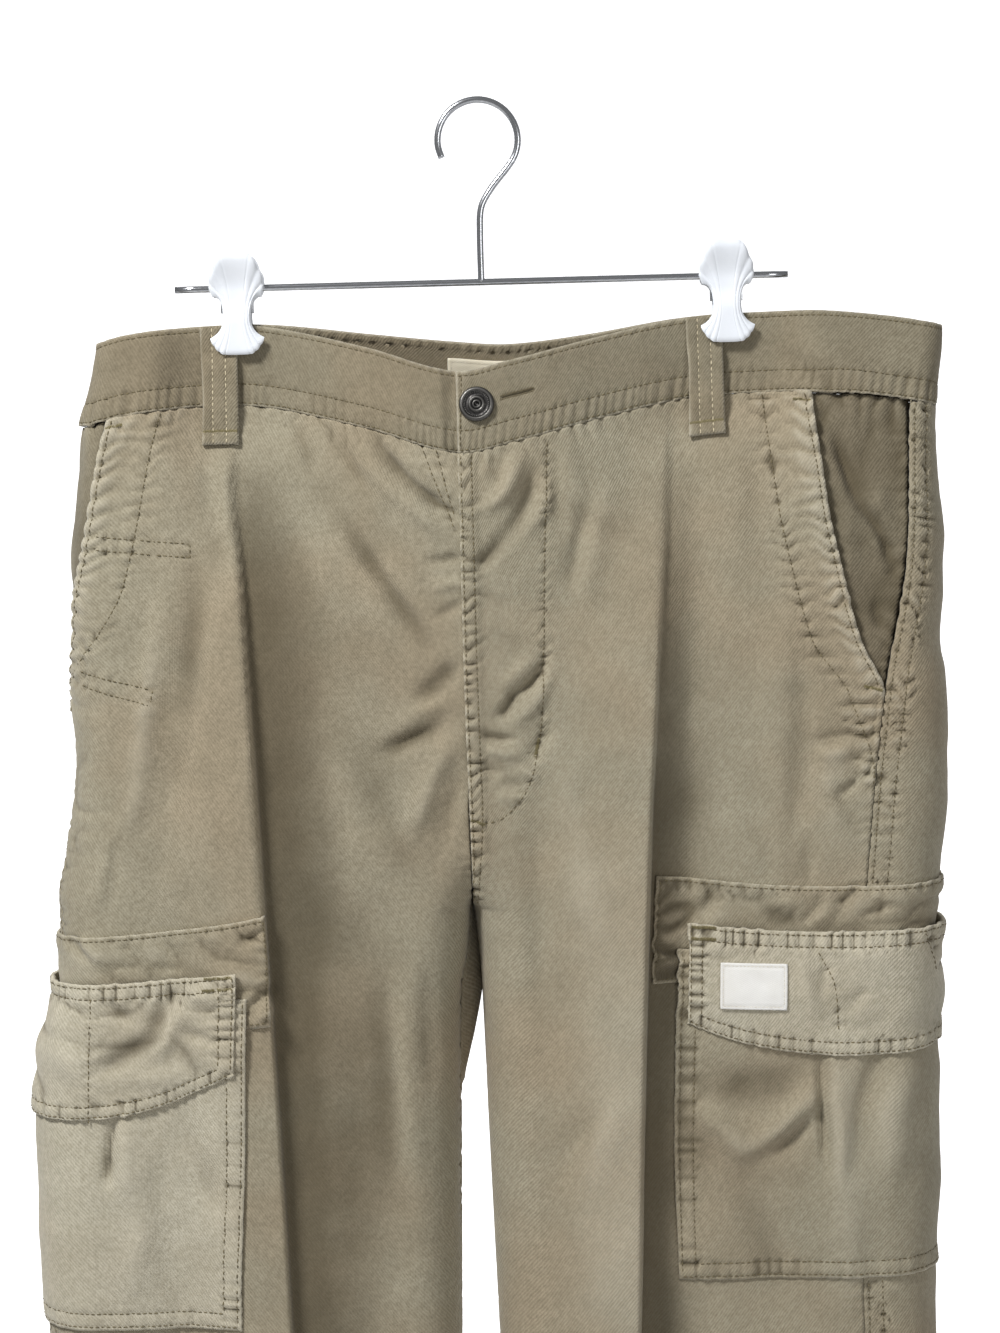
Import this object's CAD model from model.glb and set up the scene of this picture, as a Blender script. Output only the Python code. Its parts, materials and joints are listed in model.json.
# %% [markdown]
# # Cargo shorts on a two-clip hanger
#
# The shorts are washed cotton twill, sewn from flat pieces and hung by the waistband from two white
# clips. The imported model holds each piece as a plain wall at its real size. This lesson dresses those
# walls: it puts fine cloth with its folds, seams and stitches on the same surface, and gives the
# clips, wire and button their finish.
#
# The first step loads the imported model. It is the frame that every new piece is set against, and it
# is never moved. Its box is kept, to compare with the finished model at the end.

# %% Load the frame
import json
import math
from types import SimpleNamespace

import bmesh
import bpy
import numpy as np
from mathutils import Matrix, Vector

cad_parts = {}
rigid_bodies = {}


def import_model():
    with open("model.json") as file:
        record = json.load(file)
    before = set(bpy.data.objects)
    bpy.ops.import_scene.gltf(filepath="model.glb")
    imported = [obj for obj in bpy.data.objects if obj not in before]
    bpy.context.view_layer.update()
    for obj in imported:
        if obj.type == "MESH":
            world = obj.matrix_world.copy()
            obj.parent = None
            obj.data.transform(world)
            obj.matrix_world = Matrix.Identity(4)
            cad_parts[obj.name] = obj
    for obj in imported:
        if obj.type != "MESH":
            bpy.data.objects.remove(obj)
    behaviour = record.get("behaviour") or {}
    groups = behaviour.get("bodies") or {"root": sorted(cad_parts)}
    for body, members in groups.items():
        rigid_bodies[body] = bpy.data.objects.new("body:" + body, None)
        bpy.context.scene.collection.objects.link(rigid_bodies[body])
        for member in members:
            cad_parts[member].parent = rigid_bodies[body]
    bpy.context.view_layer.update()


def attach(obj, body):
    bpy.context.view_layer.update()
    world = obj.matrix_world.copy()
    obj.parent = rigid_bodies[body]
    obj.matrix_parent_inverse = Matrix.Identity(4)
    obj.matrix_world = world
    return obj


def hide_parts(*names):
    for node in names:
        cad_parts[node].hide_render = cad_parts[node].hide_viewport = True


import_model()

# %% [markdown]
# ## One surface for all the cloth
#
# Every piece of cloth lies on one surface. A point on it is named by its side (-1 left, +1 right),
# by the way around the cloth from the outline (negative on the front, positive on the back) and by
# its drop from the waistband's top edge. The sizes are the pattern's own, in millimetres, and are
# turned into metres when a mesh is filled.
#
# Short tables hold the outline, the depth and the seams, one row for each level. A smooth line is
# drawn through each column, so a handful of rows is enough.

# %% Sizes and tables
MM = 0.001
WAIST_LEVEL = -115  # Z of the waistband's top edge beside the clips
WAISTBAND = 42.5  # its height
CROTCH, HEM = 306, 575  # drops of the crotch point and the hem
RISE_ROUND = 45  # height over which the rise turns under into the crotch
FRONT_CENTRE, BACK_CENTRE, CROTCH_CENTRE = -14.5, 20, -13  # X of the fly, back seam and crotch
SEAM_GAP = 0.3  # between two pieces that are sewn edge to edge
CLOTH, DOUBLE, FLAP_CLOTH = 1.5, 2.4, 2  # one layer, the folded waistband, a folded flap
LAYER = 0.7  # between a piece and the one that it lies on
HEM_TURN, HEM_EXTRA = 24, 1  # height of the turned hem, and what it adds to the wall
CLIP_X = 128.5  # each clip's distance from the middle
NIP, BOW_REACH = 1.2, 112  # half the space under a clip, and the reach of the bow between clips


def table(names, *rows):
    """A short table, kept as one array for each named column."""
    return dict(zip(names.split(), np.array(rows, float).T))


OUTLINE = table(
    "drop left right round",
    (5, 200, 235, 9), (45, 207, 232, 12), (100, 213, 234, 17), (175, 215, 233, 20),
    (230, 218, 231, 22), (270, 222, 229, 23), (310, 225, 227, 24), (375, 230, 225, 25),
    (435, 233, 223, 25), (505, 237, 223, 26), (575, 239, 225, 26),
)
INSEAM = table(
    "drop left right",
    (306, -13.2, -12.8), (330, -16, -10.5), (352, -20, -9.5), (438, -22.6, -7.5), (575, -26, -4),
)
DEPTH = table(
    "drop front back front_bow back_bow ear",
    (0, 0, 0, 25, 15, 7), (45, 9, 8, 23, 13, 8), (90, 17, 14, 17, 10, 6), (150, 24, 20, 11, 7, 3),
    (230, 28, 24, 7, 4, 0), (306, 30, 26, 3, 2, 0), (440, 31, 28, 0, 0, 0), (575, 32, 29, 0, 0, 0),
)
TOP_EDGE = table(
    "x front back",
    (-202, -121, -121), (-186, -116.5, -116.5), (-148, -112.5, -112.5), (-114, -113.5, -112),
    (-61, -126, -118), (-15, -140, -123), (14, -135, -125), (57, -124.5, -121),
    (106, -114.5, -114), (143, -112.5, -112.5), (178, -113, -113), (212, -117, -117),
    (237, -122, -122),
)
SIDE_SEAM = table(
    "drop left right mouth",
    (0, 24, -25, -50), (43, 23, -25, -48), (100, 18, -31, -40), (135, 15, -35, -30),
    (170, 11, -40, -16), (196, 6, -45, 0), (235, 0, -49, 0), (290, -10, -52, 0),
    (345, -17, -53, 0), (575, -20, -54, 0),
)
FLARE = table(
    "down left right",
    (116, 1, 4.5), (150, 3, 4), (172, 6.2, 3), (205, 8, 3), (252, 7, 5.8), (292, 4.6, 3.5),
    (320, 4.2, 7.2), (360, 4, 7.4), (390, 6.4, 7.6), (410, 9, 6.4), (436, 6, 2.6), (462, 3.6, 2),
    (500, 10, 2.8), (535, 12.4, 5), (600, 9, 4), (690, 5, 2.5),
)
FLARE_REACH = 42
LONG_FOLDS = table(
    "face x x_end start full height outward inward",
    (-1, -147, -127, 55, 200, 11, 40, 62), (-1, 94, 66, 55, 200, 12, 22, 60),
    (1, -120, -100, 62, 240, 8, 40, 28), (1, 112, 96, 62, 220, 9, 30, 42),
)


def ramp(start, end, x):
    """Goes smoothly from 0 at start to 1 at end."""
    t = np.clip((x - start) / (end - start), 0, 1)
    return t * t * (3 - 2 * t)


def mix(a, b, t):
    return a + (b - a) * t


def line_through(rows, key, column):
    """A smooth line through one column of a table, read at values of its key column."""
    xs, ys = rows[key], rows[column]
    ends = np.arange(len(xs))
    before, after = np.maximum(ends - 1, 0), np.minimum(ends + 1, len(xs) - 1)
    slopes = (ys[after] - ys[before]) / (xs[after] - xs[before])

    def read(x):
        x = np.clip(x, xs[0], xs[-1])
        i = np.clip(np.searchsorted(xs, x) - 1, 0, len(xs) - 2)
        span = xs[i + 1] - xs[i]
        t = (x - xs[i]) / span
        lead = t * (1 - t) ** 2 * slopes[i] * span
        trail = t * t * (t - 1) * slopes[i + 1] * span
        return mix(ys[i], ys[i + 1], t * t * (3 - 2 * t)) + lead + trail

    return read


def by_side(rows, left, right, key="drop"):
    return {-1: line_through(rows, key, left), 1: line_through(rows, key, right)}


outline_of = by_side(OUTLINE, "left", "right")
inseam_of = by_side(INSEAM, "left", "right")
seam_of = by_side(SIDE_SEAM, "left", "right")
body_of = by_side(DEPTH, "front", "back")
bow_of = by_side(DEPTH, "front_bow", "back_bow")
top_of = by_side(TOP_EDGE, "front", "back", "x")
flare_of = by_side(FLARE, "left", "right", "down")
round_of = line_through(OUTLINE, "drop", "round")
mouth_of = line_through(SIDE_SEAM, "drop", "mouth")
ear_of = line_through(DEPTH, "drop", "ear")
print("crotch level", WAIST_LEVEL - CROTCH, "hem level", WAIST_LEVEL - HEM)

# %% [markdown]
# The surface itself is a flattened tube. Its edges are rounded at the outline, the clips nip it flat
# at two places, and the cloth between them bows out. Long folds hang from the clips. All of this is
# arithmetic on arrays, so a whole piece is placed in one go.


# %% The surface of the shorts
def depth_at(face, x, drop):
    """How far the cloth stands from the middle plane, before its edges round off."""
    from_clip = np.abs(np.abs(x) - CLIP_X)
    nip = (1 - ramp(15, 50, from_clip)) * (1 - ramp(19, 80, drop))
    bow = np.where(np.abs(x) < BOW_REACH, (1 + np.cos(np.pi * x / BOW_REACH)) / 2, 0)
    free = body_of[face](drop) + ear_of(drop) * ramp(145, 172, np.abs(x))
    for i in np.flatnonzero(LONG_FOLDS["face"] == face):
        fold = {name: column[i] for name, column in LONG_FOLDS.items()}
        crest = mix(fold["x"], fold["x_end"], drop / HEM)
        away = (x - crest) * np.sign(crest)
        reach = np.where(away > 0, fold["outward"], fold["inward"])
        profile = np.where(np.abs(away) < reach, (1 + np.cos(np.pi * away / reach)) / 2, 0)
        free = free + fold["height"] * profile * ramp(fold["start"], fold["full"], drop)
    return NIP + free * (1 - nip) + bow_of[face](drop) * bow


def level_at(face, x, drop):
    """The top edge dips between the clips, and the dip fades out towards the crotch."""
    return WAIST_LEVEL - drop + (top_of[face](x) - WAIST_LEVEL) * (1 - ramp(60, 320, drop))


def flare(side, around, z):
    """How far along X the cloth at the outline spreads, as worn hips and full pockets leave it."""
    return side * flare_of[side](-z) * np.exp(-((around / FLARE_REACH) ** 2))


def half_at(side, face, drop):
    """Lengths of one half at one level, from the outline to the inner seam."""
    h = SimpleNamespace(round=round_of(drop), edge=outline_of[side](drop), turn=26, turn_length=34)
    t = np.clip((drop - (CROTCH - RISE_ROUND)) / RISE_ROUND, 0, 1)
    h.open = np.sqrt(1 - t * t)
    top = FRONT_CENTRE if face < 0 else BACK_CENTRE
    centre = mix(top, CROTCH_CENTRE, ramp(150, CROTCH, drop)) + side * SEAM_GAP / 2
    h.seam_x = np.where(drop >= CROTCH, inseam_of[side](drop), centre)
    h.inner = side * h.seam_x + CLOTH * (1 - h.open)
    h.end_length = 1.35 * h.round + 8
    h.run = h.edge - h.round - h.inner - h.turn
    h.full = h.end_length + h.run + h.turn_length
    return h


def one_face(side, face, around, drop):
    h = half_at(side, face, drop)
    way = np.abs(around)
    end = way / h.end_length * np.pi / 2
    left = h.full - way
    turn = left / h.turn_length * np.pi / 2
    turned = mix(h.turn * (1 - np.cos(turn)), left * h.turn / h.turn_length, h.open)
    near_end, near_seam = way < h.end_length, way >= h.end_length + h.run
    out = np.where(near_end, h.edge - h.round * (1 - np.cos(end)), h.edge - h.round - way + h.end_length)
    out = np.where(near_seam, h.inner + turned, out)
    full = np.where(near_end, np.sin(end), 1)
    full = np.where(near_seam, mix(np.sin(turn), 1, h.open), full)
    x = side * out
    z = level_at(face, x, drop)
    return np.stack([x + flare(side, around, z), face * depth_at(face, x, drop) * full, z], -1)


def bare_point(side, around, drop):
    """Points of the surface, before creases and thickness."""
    around, drop = np.broadcast_arrays(np.asarray(around, float), np.asarray(drop, float))
    if np.all(around < 0):
        return one_face(side, -1, around, drop)
    if np.all(around >= 0):
        return one_face(side, 1, around, drop)
    front, back = one_face(side, -1, around, drop), one_face(side, 1, around, drop)
    return np.where((around < 0)[..., None], front, back)


def around_at(side, face, x, drop):
    """How far round the cloth a given X lies, on the flat stretch of the front or back."""
    h = half_at(side, face, drop)
    out = side * x
    near_inner = h.inner + h.turn
    flat = h.end_length + h.edge - h.round - out
    turned = h.end_length + h.run + (near_inner - out) * h.turn_length / h.turn
    return face * np.where(out > near_inner, flat, turned)


print("hip at the right seam", bare_point(1, np.array([-60.0]), np.array([120.0])).round(1))

# %% [markdown]
# ## Creases and puckers
#
# Worn cotton is never smooth. Three sizes of form are added, all as heights above the surface:
# creases placed by hand as soft ridges and troughs, an uneven swell over the whole cloth, and the
# short puckers that a line of stitches draws up beside it. A cloth simulation would hang the tube
# well but lose the seams, so the creases are placed instead, each with its own length and width.
#
# A crease runs from one point to another, can bow sideways, and can be sharper on one side: lean
# is positive where the side to the right of a downward crease is the softer one.

# %% Creases, placed by X and Z
CREASES = table(
    "face x z x_end z_end bend width height lean",
    # left leg, outside its fold
    (-1, -170, -255, -207, -405, -4, 6.8, 3.2, 0.2), (-1, -152, -235, -174, -395, -3, 7.6, -3.2, 0.1),
    (-1, -146, -188, -137, -250, 0, 6.0, -1.7, 0), (-1, -160, -300, -172, -420, 0, 5.1, 1.4, 0),
    (-1, -141, -300, -143, -420, 0, 6.0, -1.4, 0), (-1, -187, -330, -205, -420, 0, 4.2, -1.6, 0),
    # drag lines from the left clip and from the waistband to the fly
    (-1, -100, -160, -88, -192, 1, 3.6, -1.4, 0.2), (-1, -84, -166, -60, -202, 1, 3.6, -1.6, 0.2),
    (-1, -60, -170, -14, -217, 3, 3.6, -3.7, -0.3), (-1, -66, -180, -20, -226, 3, 5.4, 2.1, 0),
    (-1, -40, -182, -12, -207, 1, 4.5, 1.6, 0), (-1, -110, -180, -70, -270, 4, 10.8, 1.3, 0),
    (-1, -73, -218, -29, -284, 2, 4.5, -2.6, 0), (-1, -80, -226, -38, -290, 2, 6.3, 1.4, 0),
    (-1, -62, -224, -22, -280, 1, 6.3, 1.1, 0), (-1, -13, -237, -32, -238, 0, 2.7, -1.8, 0),
    (-1, -13, -259, -29, -266, 0, 2.7, -1.8, 0), (-1, -13, -248, -30, -251, 0, 3.6, 1.3, 0),
    (-1, -18, -291, -39, -309, -1, 4.5, -3, 0), (-1, -26, -321, -60, -336, -2, 4.5, -3.2, 0.2),
    (-1, -17, -326, -45, -382, 2, 6.3, 3.2, 0), (-1, -20, -310, -50, -323, 0, 4.5, 1.4, 0),
    (-1, -15, -345, -32, -392, 0, 4.5, -1.4, 0), (-1, -70, -330, -35, -420, 3, 10.8, -1.4, 0),
    (-1, -88, -300, -70, -420, 0, 11.7, 1.3, 0), (-1, -51, -465, -50, -560, 0, 5.4, 1.9, 0),
    (-1, -62, -455, -61, -570, 0, 6.3, -1.4, 0), (-1, -38, -440, -37, -520, 0, 4.5, -1.4, 0),
    (-1, -85, -430, -88, -640, 2, 9.9, 1.4, 0),
    # the broad hollow between the left fold and the fly
    (-1, -52, -172, -50, -350, 0, 27, -1.4, 0.3),
    # the fly's bottom and the creases that meet there
    (-1, 27, -190, 7, -228, -3, 4.4, -3.8, 0.1), (-1, 8, -226, -7, -242, -1, 3.5, -2.7, 0),
    (-1, 17, -184, -1, -214, -2, 4.4, 2.7, 0), (-1, 10, -181, 6, -202, 0, 2.6, -1.4, 0),
    (-1, 2, -180, -1, -197, 0, 2.2, 1.2, 0), (-1, 33, -196, 18, -226, -2, 4.4, 1.6, 0),
    (-1, 30, -288, 11, -310, -2, 3.1, -3.2, 0), (-1, 13, -307, 3, -321, -1, 3.1, -3.2, 0),
    (-1, 31, -299, 12, -322, -2, 4, 2.3, 0), (-1, 20, -288, 4, -305, -1, 3.5, 1.6, 0),
    (-1, -8, -327, 11, -331, 1, 2.6, -2.3, 0), (-1, 30, -324, 17, -344, 0, 3.1, -2.3, 0),
    (-1, -7, -341, 4, -351, 1, 2.6, -2.6, 0), (-1, 4, -350, 15, -358, 1, 2.6, -2, 0),
    (-1, -4, -334, 14, -341, 1, 3.5, 2, 0), (-1, 3, -358, 12, -366, 0, 3.1, 1.5, 0),
    (-1, -5, -256, 12, -262, 1, 3.5, -0.9, 0), (-1, -4, -268, 14, -276, 1, 4.4, 0.9, 0),
    (-1, 12, -345, 24, -352, 0, 3.5, 1.2, 0),
    # right front, between the fly and the fold
    (-1, 43, -209, 74, -234, 2, 4.5, -2.2, 0), (-1, 53, -212, 40, -252, 0, 4.5, -2, 0),
    (-1, 62, -196, 49, -262, 0, 6.3, 1.5, 0), (-1, 34, -178, 38, -220, 0, 3.6, -1.4, 0),
    (-1, 42, -180, 48, -216, 0, 4.5, 1, 0), (-1, 34, -330, 50, -450, -3, 10.8, 1.8, 0),
    (-1, 22, -372, 20, -470, 0, 7.2, -1.4, 0), (-1, 60, -520, 44, -575, 0, 8.1, 1.5, 0),
    (-1, 48, -526, 28, -566, 0, 7.2, -1.8, 0), (-1, 60, -390, 56, -660, 0, 24, 2.8, 0),
    # right front, outside the fold, down to the cargo pocket
    (-1, 163, -286, 157, -384, -1, 5.7, -2, 0.2), (-1, 150, -270, 146, -400, 0, 8.5, 1.2, 0),
    (-1, 128, -190, 124, -300, 0, 13.3, 1.1, 0), (-1, 139, -178, 141, -250, 0, 5.7, -1, 0),
    (-1, 166, -337, 190, -331, 1, 3.3, -2, 0), (-1, 169, -345, 188, -341, 0, 4.3, 1.5, 0),
    (-1, 179, -365, 192, -357, 0, 2.8, -1.6, 0), (-1, 170, -352, 180, -384, 0, 5.7, 1.2, 0),
    (-1, 112, -330, 108, -402, 0, 9.5, -0.9, 0), (-1, 164, -384, 164, -412, 0, 3.8, -1.2, 0),
    (-1, 141, -388, 140, -410, 0, 3.8, -1, 0),
    # right pocket's facing
    (-1, 183, -178, 195, -216, 1, 3.5, -4.1, 0.2), (-1, 195, -216, 209, -246, -2, 3.3, -4.5, 0.2),
    (-1, 203, -205, 206, -238, 0, 5.7, 2.6, 0), (-1, 201, -264, 205, -281, 1, 2.8, -2.4, 0),
    (-1, 186, -190, 189, -262, 0, 5.7, 1.8, 0), (-1, 207, -250, 214, -247, 0, 2.8, -2.2, 0),
    # right patch, flap and pocket
    (-1, 115, -409, 108, -429, 0, 3.3, -2.0, 0), (-1, 137, -424, 159, -433, 1, 3.3, -1.3, 0),
    (-1, 157, -433, 170, -417, 1, 2.6, -1.7, 0), (-1, 176, -422, 189, -412, 1, 2.8, -1.6, 0),
    (-1, 188, -429, 206, -423, 1, 2.4, -1.6, 0), (-1, 193, -418, 208, -421, 0, 3.8, 1.4, 0),
    (-1, 146, -419, 160, -423, 0, 3.8, 1.5, 0), (-1, 81, -438, 98, -447, 1, 2.8, -2.4, 0),
    (-1, 82, -451, 98, -458, 1, 2.8, -2.2, 0), (-1, 82, -444, 97, -452, 0, 2.8, 1.5, 0),
    (-1, 157, -447, 163, -478, 0, 3.8, 1.8, 0), (-1, 178, -478, 192, -467, 0, 2.8, -1.2, 0),
    (-1, 170, -450, 168, -470, 0, 2.8, -1.4, 0), (-1, 184, -446, 205, -452, 0, 5.7, 1.2, 0),
    (-1, 100, -527, 130, -553, -2, 7.6, 4.2, 0), (-1, 126, -553, 166, -517, 3, 6.6, 3.9, 0),
    (-1, 138, -552, 163, -527, 3, 4.8, -3.9, 0), (-1, 112, -512, 158, -522, 2, 11.4, -2, 0),
    (-1, 199, -498, 182, -560, 2, 6.6, -3.6, 0.2), (-1, 210, -500, 199, -575, 2, 7.6, 2.7, 0),
    (-1, 120, -560, 150, -640, 3, 11.4, -2.1, 0), (-1, 190, -580, 200, -680, 2, 8.5, -2, 0),
    (-1, 184, -492, 186, -640, 0, 13, 3.4, 0), (-1, 86, -480, 90, -640, 0, 9, 1.6, 0),
    # left patch, flap and pocket
    (-1, -135, -433, -121, -427, 0, 2.8, -2.1, 0), (-1, -132, -466, -116, -456, 0, 2.8, -2.8, 0),
    (-1, -129, -473, -116, -466, 0, 3.3, 1.8, 0), (-1, -224, -432, -211, -442, 0, 2.8, -2.4, 0),
    (-1, -217, -430, -206, -443, 0, 3.3, 1.7, 0), (-1, -212, -501, -182, -482, 1, 4.3, -3.3, 0),
    (-1, -184, -483, -163, -455, -1, 4.3, -3, 0), (-1, -181, -491, -152, -462, -1, 5.7, 3, 0),
    (-1, -206, -461, -193, -475, 0, 3.3, -2.4, 0), (-1, -162, -477, -139, -487, 1, 3.8, -2, 0),
    (-1, -193, -506, -158, -497, 1, 5.7, 1.7, 0), (-1, -226, -466, -219, -510, 0, 5.7, 1.7, 0),
    (-1, -160, -455, -143, -463, 0, 3.8, 1.4, 0), (-1, -166, -520, -150, -575, 2, 7.6, -2.4, 0),
    (-1, -186, -522, -196, -620, 2, 8.5, 2.4, 0), (-1, -178, -560, -170, -680, 2, 9.5, -2, 0),
    (-1, 166, -499, 168, -560, 0, 3, -4.5, 0.3), (-1, 173, -500, 176, -575, 0, 5.7, 3, 0),
    (-1, -204, -526, -209, -560, 0, 2.8, -3.9, 0.3), (-1, -197, -524, -199, -570, 0, 5.7, 2.4, 0),
    # the right end of the waistband
    (-1, 150, -124, 188, -158, 3, 6, -2.6, 0.2), (-1, 168, -122, 214, -152, 4, 7, 2.2, 0),
    (-1, 196, -140, 232, -156, 1, 5, -2.0, 0), (-1, -176, -128, -206, -150, 2, 7, -0.7, 0),
    # backs: the same kinds of fold, from the clips, the seat and the pockets
    (1, -96, -168, -40, -232, -4, 5, -1.8, 0), (1, -70, -178, -22, -250, -3, 7, 1.4, 0),
    (1, 88, -172, 44, -230, 4, 5, -1.7, 0), (1, 66, -180, 30, -262, 3, 7, 1.3, 0),
    (1, -20, -330, -84, -372, 3, 6, -2.4, 0), (1, -14, -352, -70, -408, 3, 8, 1.9, 0),
    (1, 2, -334, 62, -384, -3, 6, -2.3, 0), (1, -4, -360, 50, -424, -3, 8, 1.8, 0),
    (1, -168, -240, -196, -392, 3, 9, 1.7, 0), (1, -150, -250, -166, -400, 2, 9, -1.7, 0),
    (1, 168, -230, 184, -380, -3, 9, 1.7, 0), (1, 148, -240, 158, -390, -2, 9, -1.6, 0),
    (1, -150, -300, -120, -342, 3, 7, -1.3, 0), (1, 150, -318, 118, -360, 3, 7, -1.4, 0),
    (1, -60, -450, -66, -640, 3, 9, 1.4, 0), (1, 40, -460, 44, -650, 3, 9, 1.4, 0),
    (1, -80, -440, -92, -620, 3, 8, -1.4, 0), (1, 62, -450, 70, -620, 3, 8, -1.3, 0),
    (1, -160, -530, -140, -570, 3, 7, 2.4, 0), (1, 130, -520, 160, -566, 3, 8, 2.4, 0),
    (1, -150, -430, -166, -438, 0, 3, -1.7, 0), (1, 150, -418, 168, -424, 0, 3, -1.8, 0),
    (1, -176, -470, -150, -486, 1, 5, -1.8, 0), (1, 146, -460, 176, -472, 1, 5, -1.7, 0),
)
FOLDS = [
    # face, how far the cloth drops beyond it at its top and at its foot, the drop's reach, points
    (
        *(-1, (7, 7.5), 54),
        [(-130, -172), (-133, -200), (-129, -240), (-127, -276), (-121, -410), (-116, -542), (-112, -680)],
    ),
    (-1, (3, 11), 26, [(96, -168), (92, -230), (87, -290), (79.5, -401), (74, -521), (68, -680)]),
    (1, (3, 6), 26, [(-118, -172), (-114, -260), (-107, -400), (-100, -600), (-98, -680)]),
    (1, (3, 6), 26, [(112, -176), (108, -270), (102, -420), (98, -600), (97, -680)]),
]
FOLD_RISE, FOLD_NEAR = 1.4, 10
CREASE_DEPTH = 1.25
RANDOM_SIZE = 64


def uneven(u, v, pitch_u, pitch_v, seed):
    """Smooth random heights from -1 to 1 over a plane, with a swell of the given pitch each way."""
    values = np.random.default_rng(seed).uniform(-1, 1, (RANDOM_SIZE, RANDOM_SIZE))
    a, b = np.asarray(u) / pitch_u, np.asarray(v) / pitch_v
    i, j = np.floor(a).astype(int), np.floor(b).astype(int)
    s, t = ramp(0, 1, a - i), ramp(0, 1, b - j)
    at = lambda di, dj: values[(i + di) % RANDOM_SIZE, (j + dj) % RANDOM_SIZE]
    return mix(mix(at(0, 0), at(1, 0), s), mix(at(0, 1), at(1, 1), s), t)


def crumple(u, v, pitch_u, pitch_v, seed):
    """Soft bulges with sharp wrinkles between them, where an uneven swell passes through zero."""
    return np.abs(uneven(u, v, pitch_u, pitch_v, seed)) ** 0.7 - 0.45


def rounded(points, step=2.0):
    """A smooth line through a few (x, z) points, as points a fixed step apart."""
    points = np.array(points, float)
    chords = np.hypot(*np.diff(points, axis=0).T)
    run = np.concatenate([[0], np.cumsum(chords)])
    rows = {"run": run, "x": points[:, 0], "z": points[:, 1]}
    at = np.linspace(0, run[-1], max(2, round(run[-1] / step)) + 1)
    return np.stack([line_through(rows, "run", "x")(at), line_through(rows, "run", "z")(at)], -1)


def near_path(x, z, path):
    """Distance along a path and distance from it, positive to the right of a downward path."""
    best = np.full(np.shape(x), 1e9)
    along, away = np.zeros(np.shape(x)), np.zeros(np.shape(x))
    run = 0.0
    for start, end in zip(path[:-1], path[1:]):
        dx, dz = end - start
        length = math.hypot(dx, dz)
        share = np.clip(((x - start[0]) * dx + (z - start[1]) * dz) / length**2, 0, 1)
        distance = np.hypot(x - start[0] - share * dx, z - start[1] - share * dz)
        right = dx * (z - start[1]) - dz * (x - start[0])
        along = np.where(distance < best, run + share * length, along)
        away = np.where(distance < best, np.copysign(distance, right), away)
        best = np.minimum(best, distance)
        run += length
    return along, away


def fold_height(face, x, z):
    """A pressed fold: its near edge stands up, and the cloth drops away sharply beyond it."""
    height = np.zeros(np.shape(x))
    for fold_face, drops, reach, points in FOLDS:
        if fold_face != face:
            continue
        side = -1 if face > 0 and points[0][0] > 0 else 1
        along, away = near_path(x, z, rounded(points, 12))
        away = side * away
        drop = mix(*drops, ramp(60, 380, along)) * (0.4 + 0.6 * ramp(0, 90, along))
        near = FOLD_RISE * np.exp(-((away / FOLD_NEAR) ** 2))
        beyond = -drop * np.exp(-((away / reach) ** 2))
        height += mix(near, beyond, ramp(-2.1, 2.5, away)) * ramp(-6, 26, along)
    return height


def crease_height(face, x, z):
    """Height of all the creases of the front (face -1) or back (face 1)."""
    height = np.zeros(np.shape(x))
    for i in np.flatnonzero(CREASES["face"] == face):
        c = {name: column[i] for name, column in CREASES.items()}
        dx, dz = c["x_end"] - c["x"], c["z_end"] - c["z"]
        length = math.hypot(dx, dz)
        along = ((x - c["x"]) * dx + (z - c["z"]) * dz) / length
        share = np.clip(along / length, 0, 1)
        away = ((z - c["z"]) * dx - (x - c["x"]) * dz) / length + c["bend"] * 4 * share * (1 - share)
        swing = 6 + 3 * c["width"]
        away = away + 0.3 * c["width"] * uneven(along, 3 * i, swing, 1, 91)
        width = c["width"] * (1 + np.sign(away) * c["lean"]) * (1 + 0.15 * uneven(along, 3 * i, swing, 1, 92))
        fade = min(0.35 * length, 60)
        ends = ramp(-0.5 * fade, fade, along) * (1 - ramp(length - fade, length + 0.5 * fade, along))
        strength = c["height"] * (1 + 0.25 * uneven(along, 3 * i, swing, 1, 93))
        height += strength * np.exp(-((away / width) ** 2)) * ends
    return CREASE_DEPTH * height + fold_height(face, x, z)


def relief(side, around, x, z):
    """Height of the cloth over the bare surface: creases, swells of three sizes, faint wrinkles."""
    front, back = np.any(around < 0), np.any(around >= 0)
    height = np.zeros(np.shape(x))
    if front:
        height = np.where(around < 0, crease_height(-1, x, z), height)
    if back:
        height = np.where(around >= 0, crease_height(1, x, z), height)
    height += 1.1 * uneven(around, z, 62, 90, 11 + side) + 0.5 * uneven(around, z, 24, 33, 21 + side)
    height += 0.3 * uneven(around, z, 9, 12, 31 + side)
    height += 1.3 * uneven(0, z, 1, 19, 41 + side) * np.exp(-((around / 24) ** 2))
    height += 0.22 * crumple(around + 0.4 * z, z, 15, 12, 51 + side)
    return height * ramp(-118, -150, z)


def puckers(along, away, reach, height, pitch, seed):
    """Pillows across a seam: round on top, with sharp pinches between, dying out over the reach."""
    bend = 0.55 * uneven(along, away, 1.5 * pitch, 0.6 * reach + 2, seed)
    phase = along / pitch + bend + 0.45 * uneven(along, 0, 3.1 * pitch, 1, seed + 1)
    wave = np.abs(np.sin(np.pi * phase)) ** 0.65 - 0.68
    strength = 1.05 + 0.35 * uneven(along, away, 1.9 * pitch, 1.4 * reach + 4, seed + 2)
    local_reach = reach * (0.85 + 0.5 * uneven(along, 0, 1.6 * pitch, 1, seed + 3))
    return 1.2 * height * strength * wave * np.exp(-((away / local_reach) ** 2))


def channel(away, width=0.9):
    """The groove that a line of stitches sinks into."""
    return -0.45 * np.exp(-((away / width) ** 2))


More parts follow.
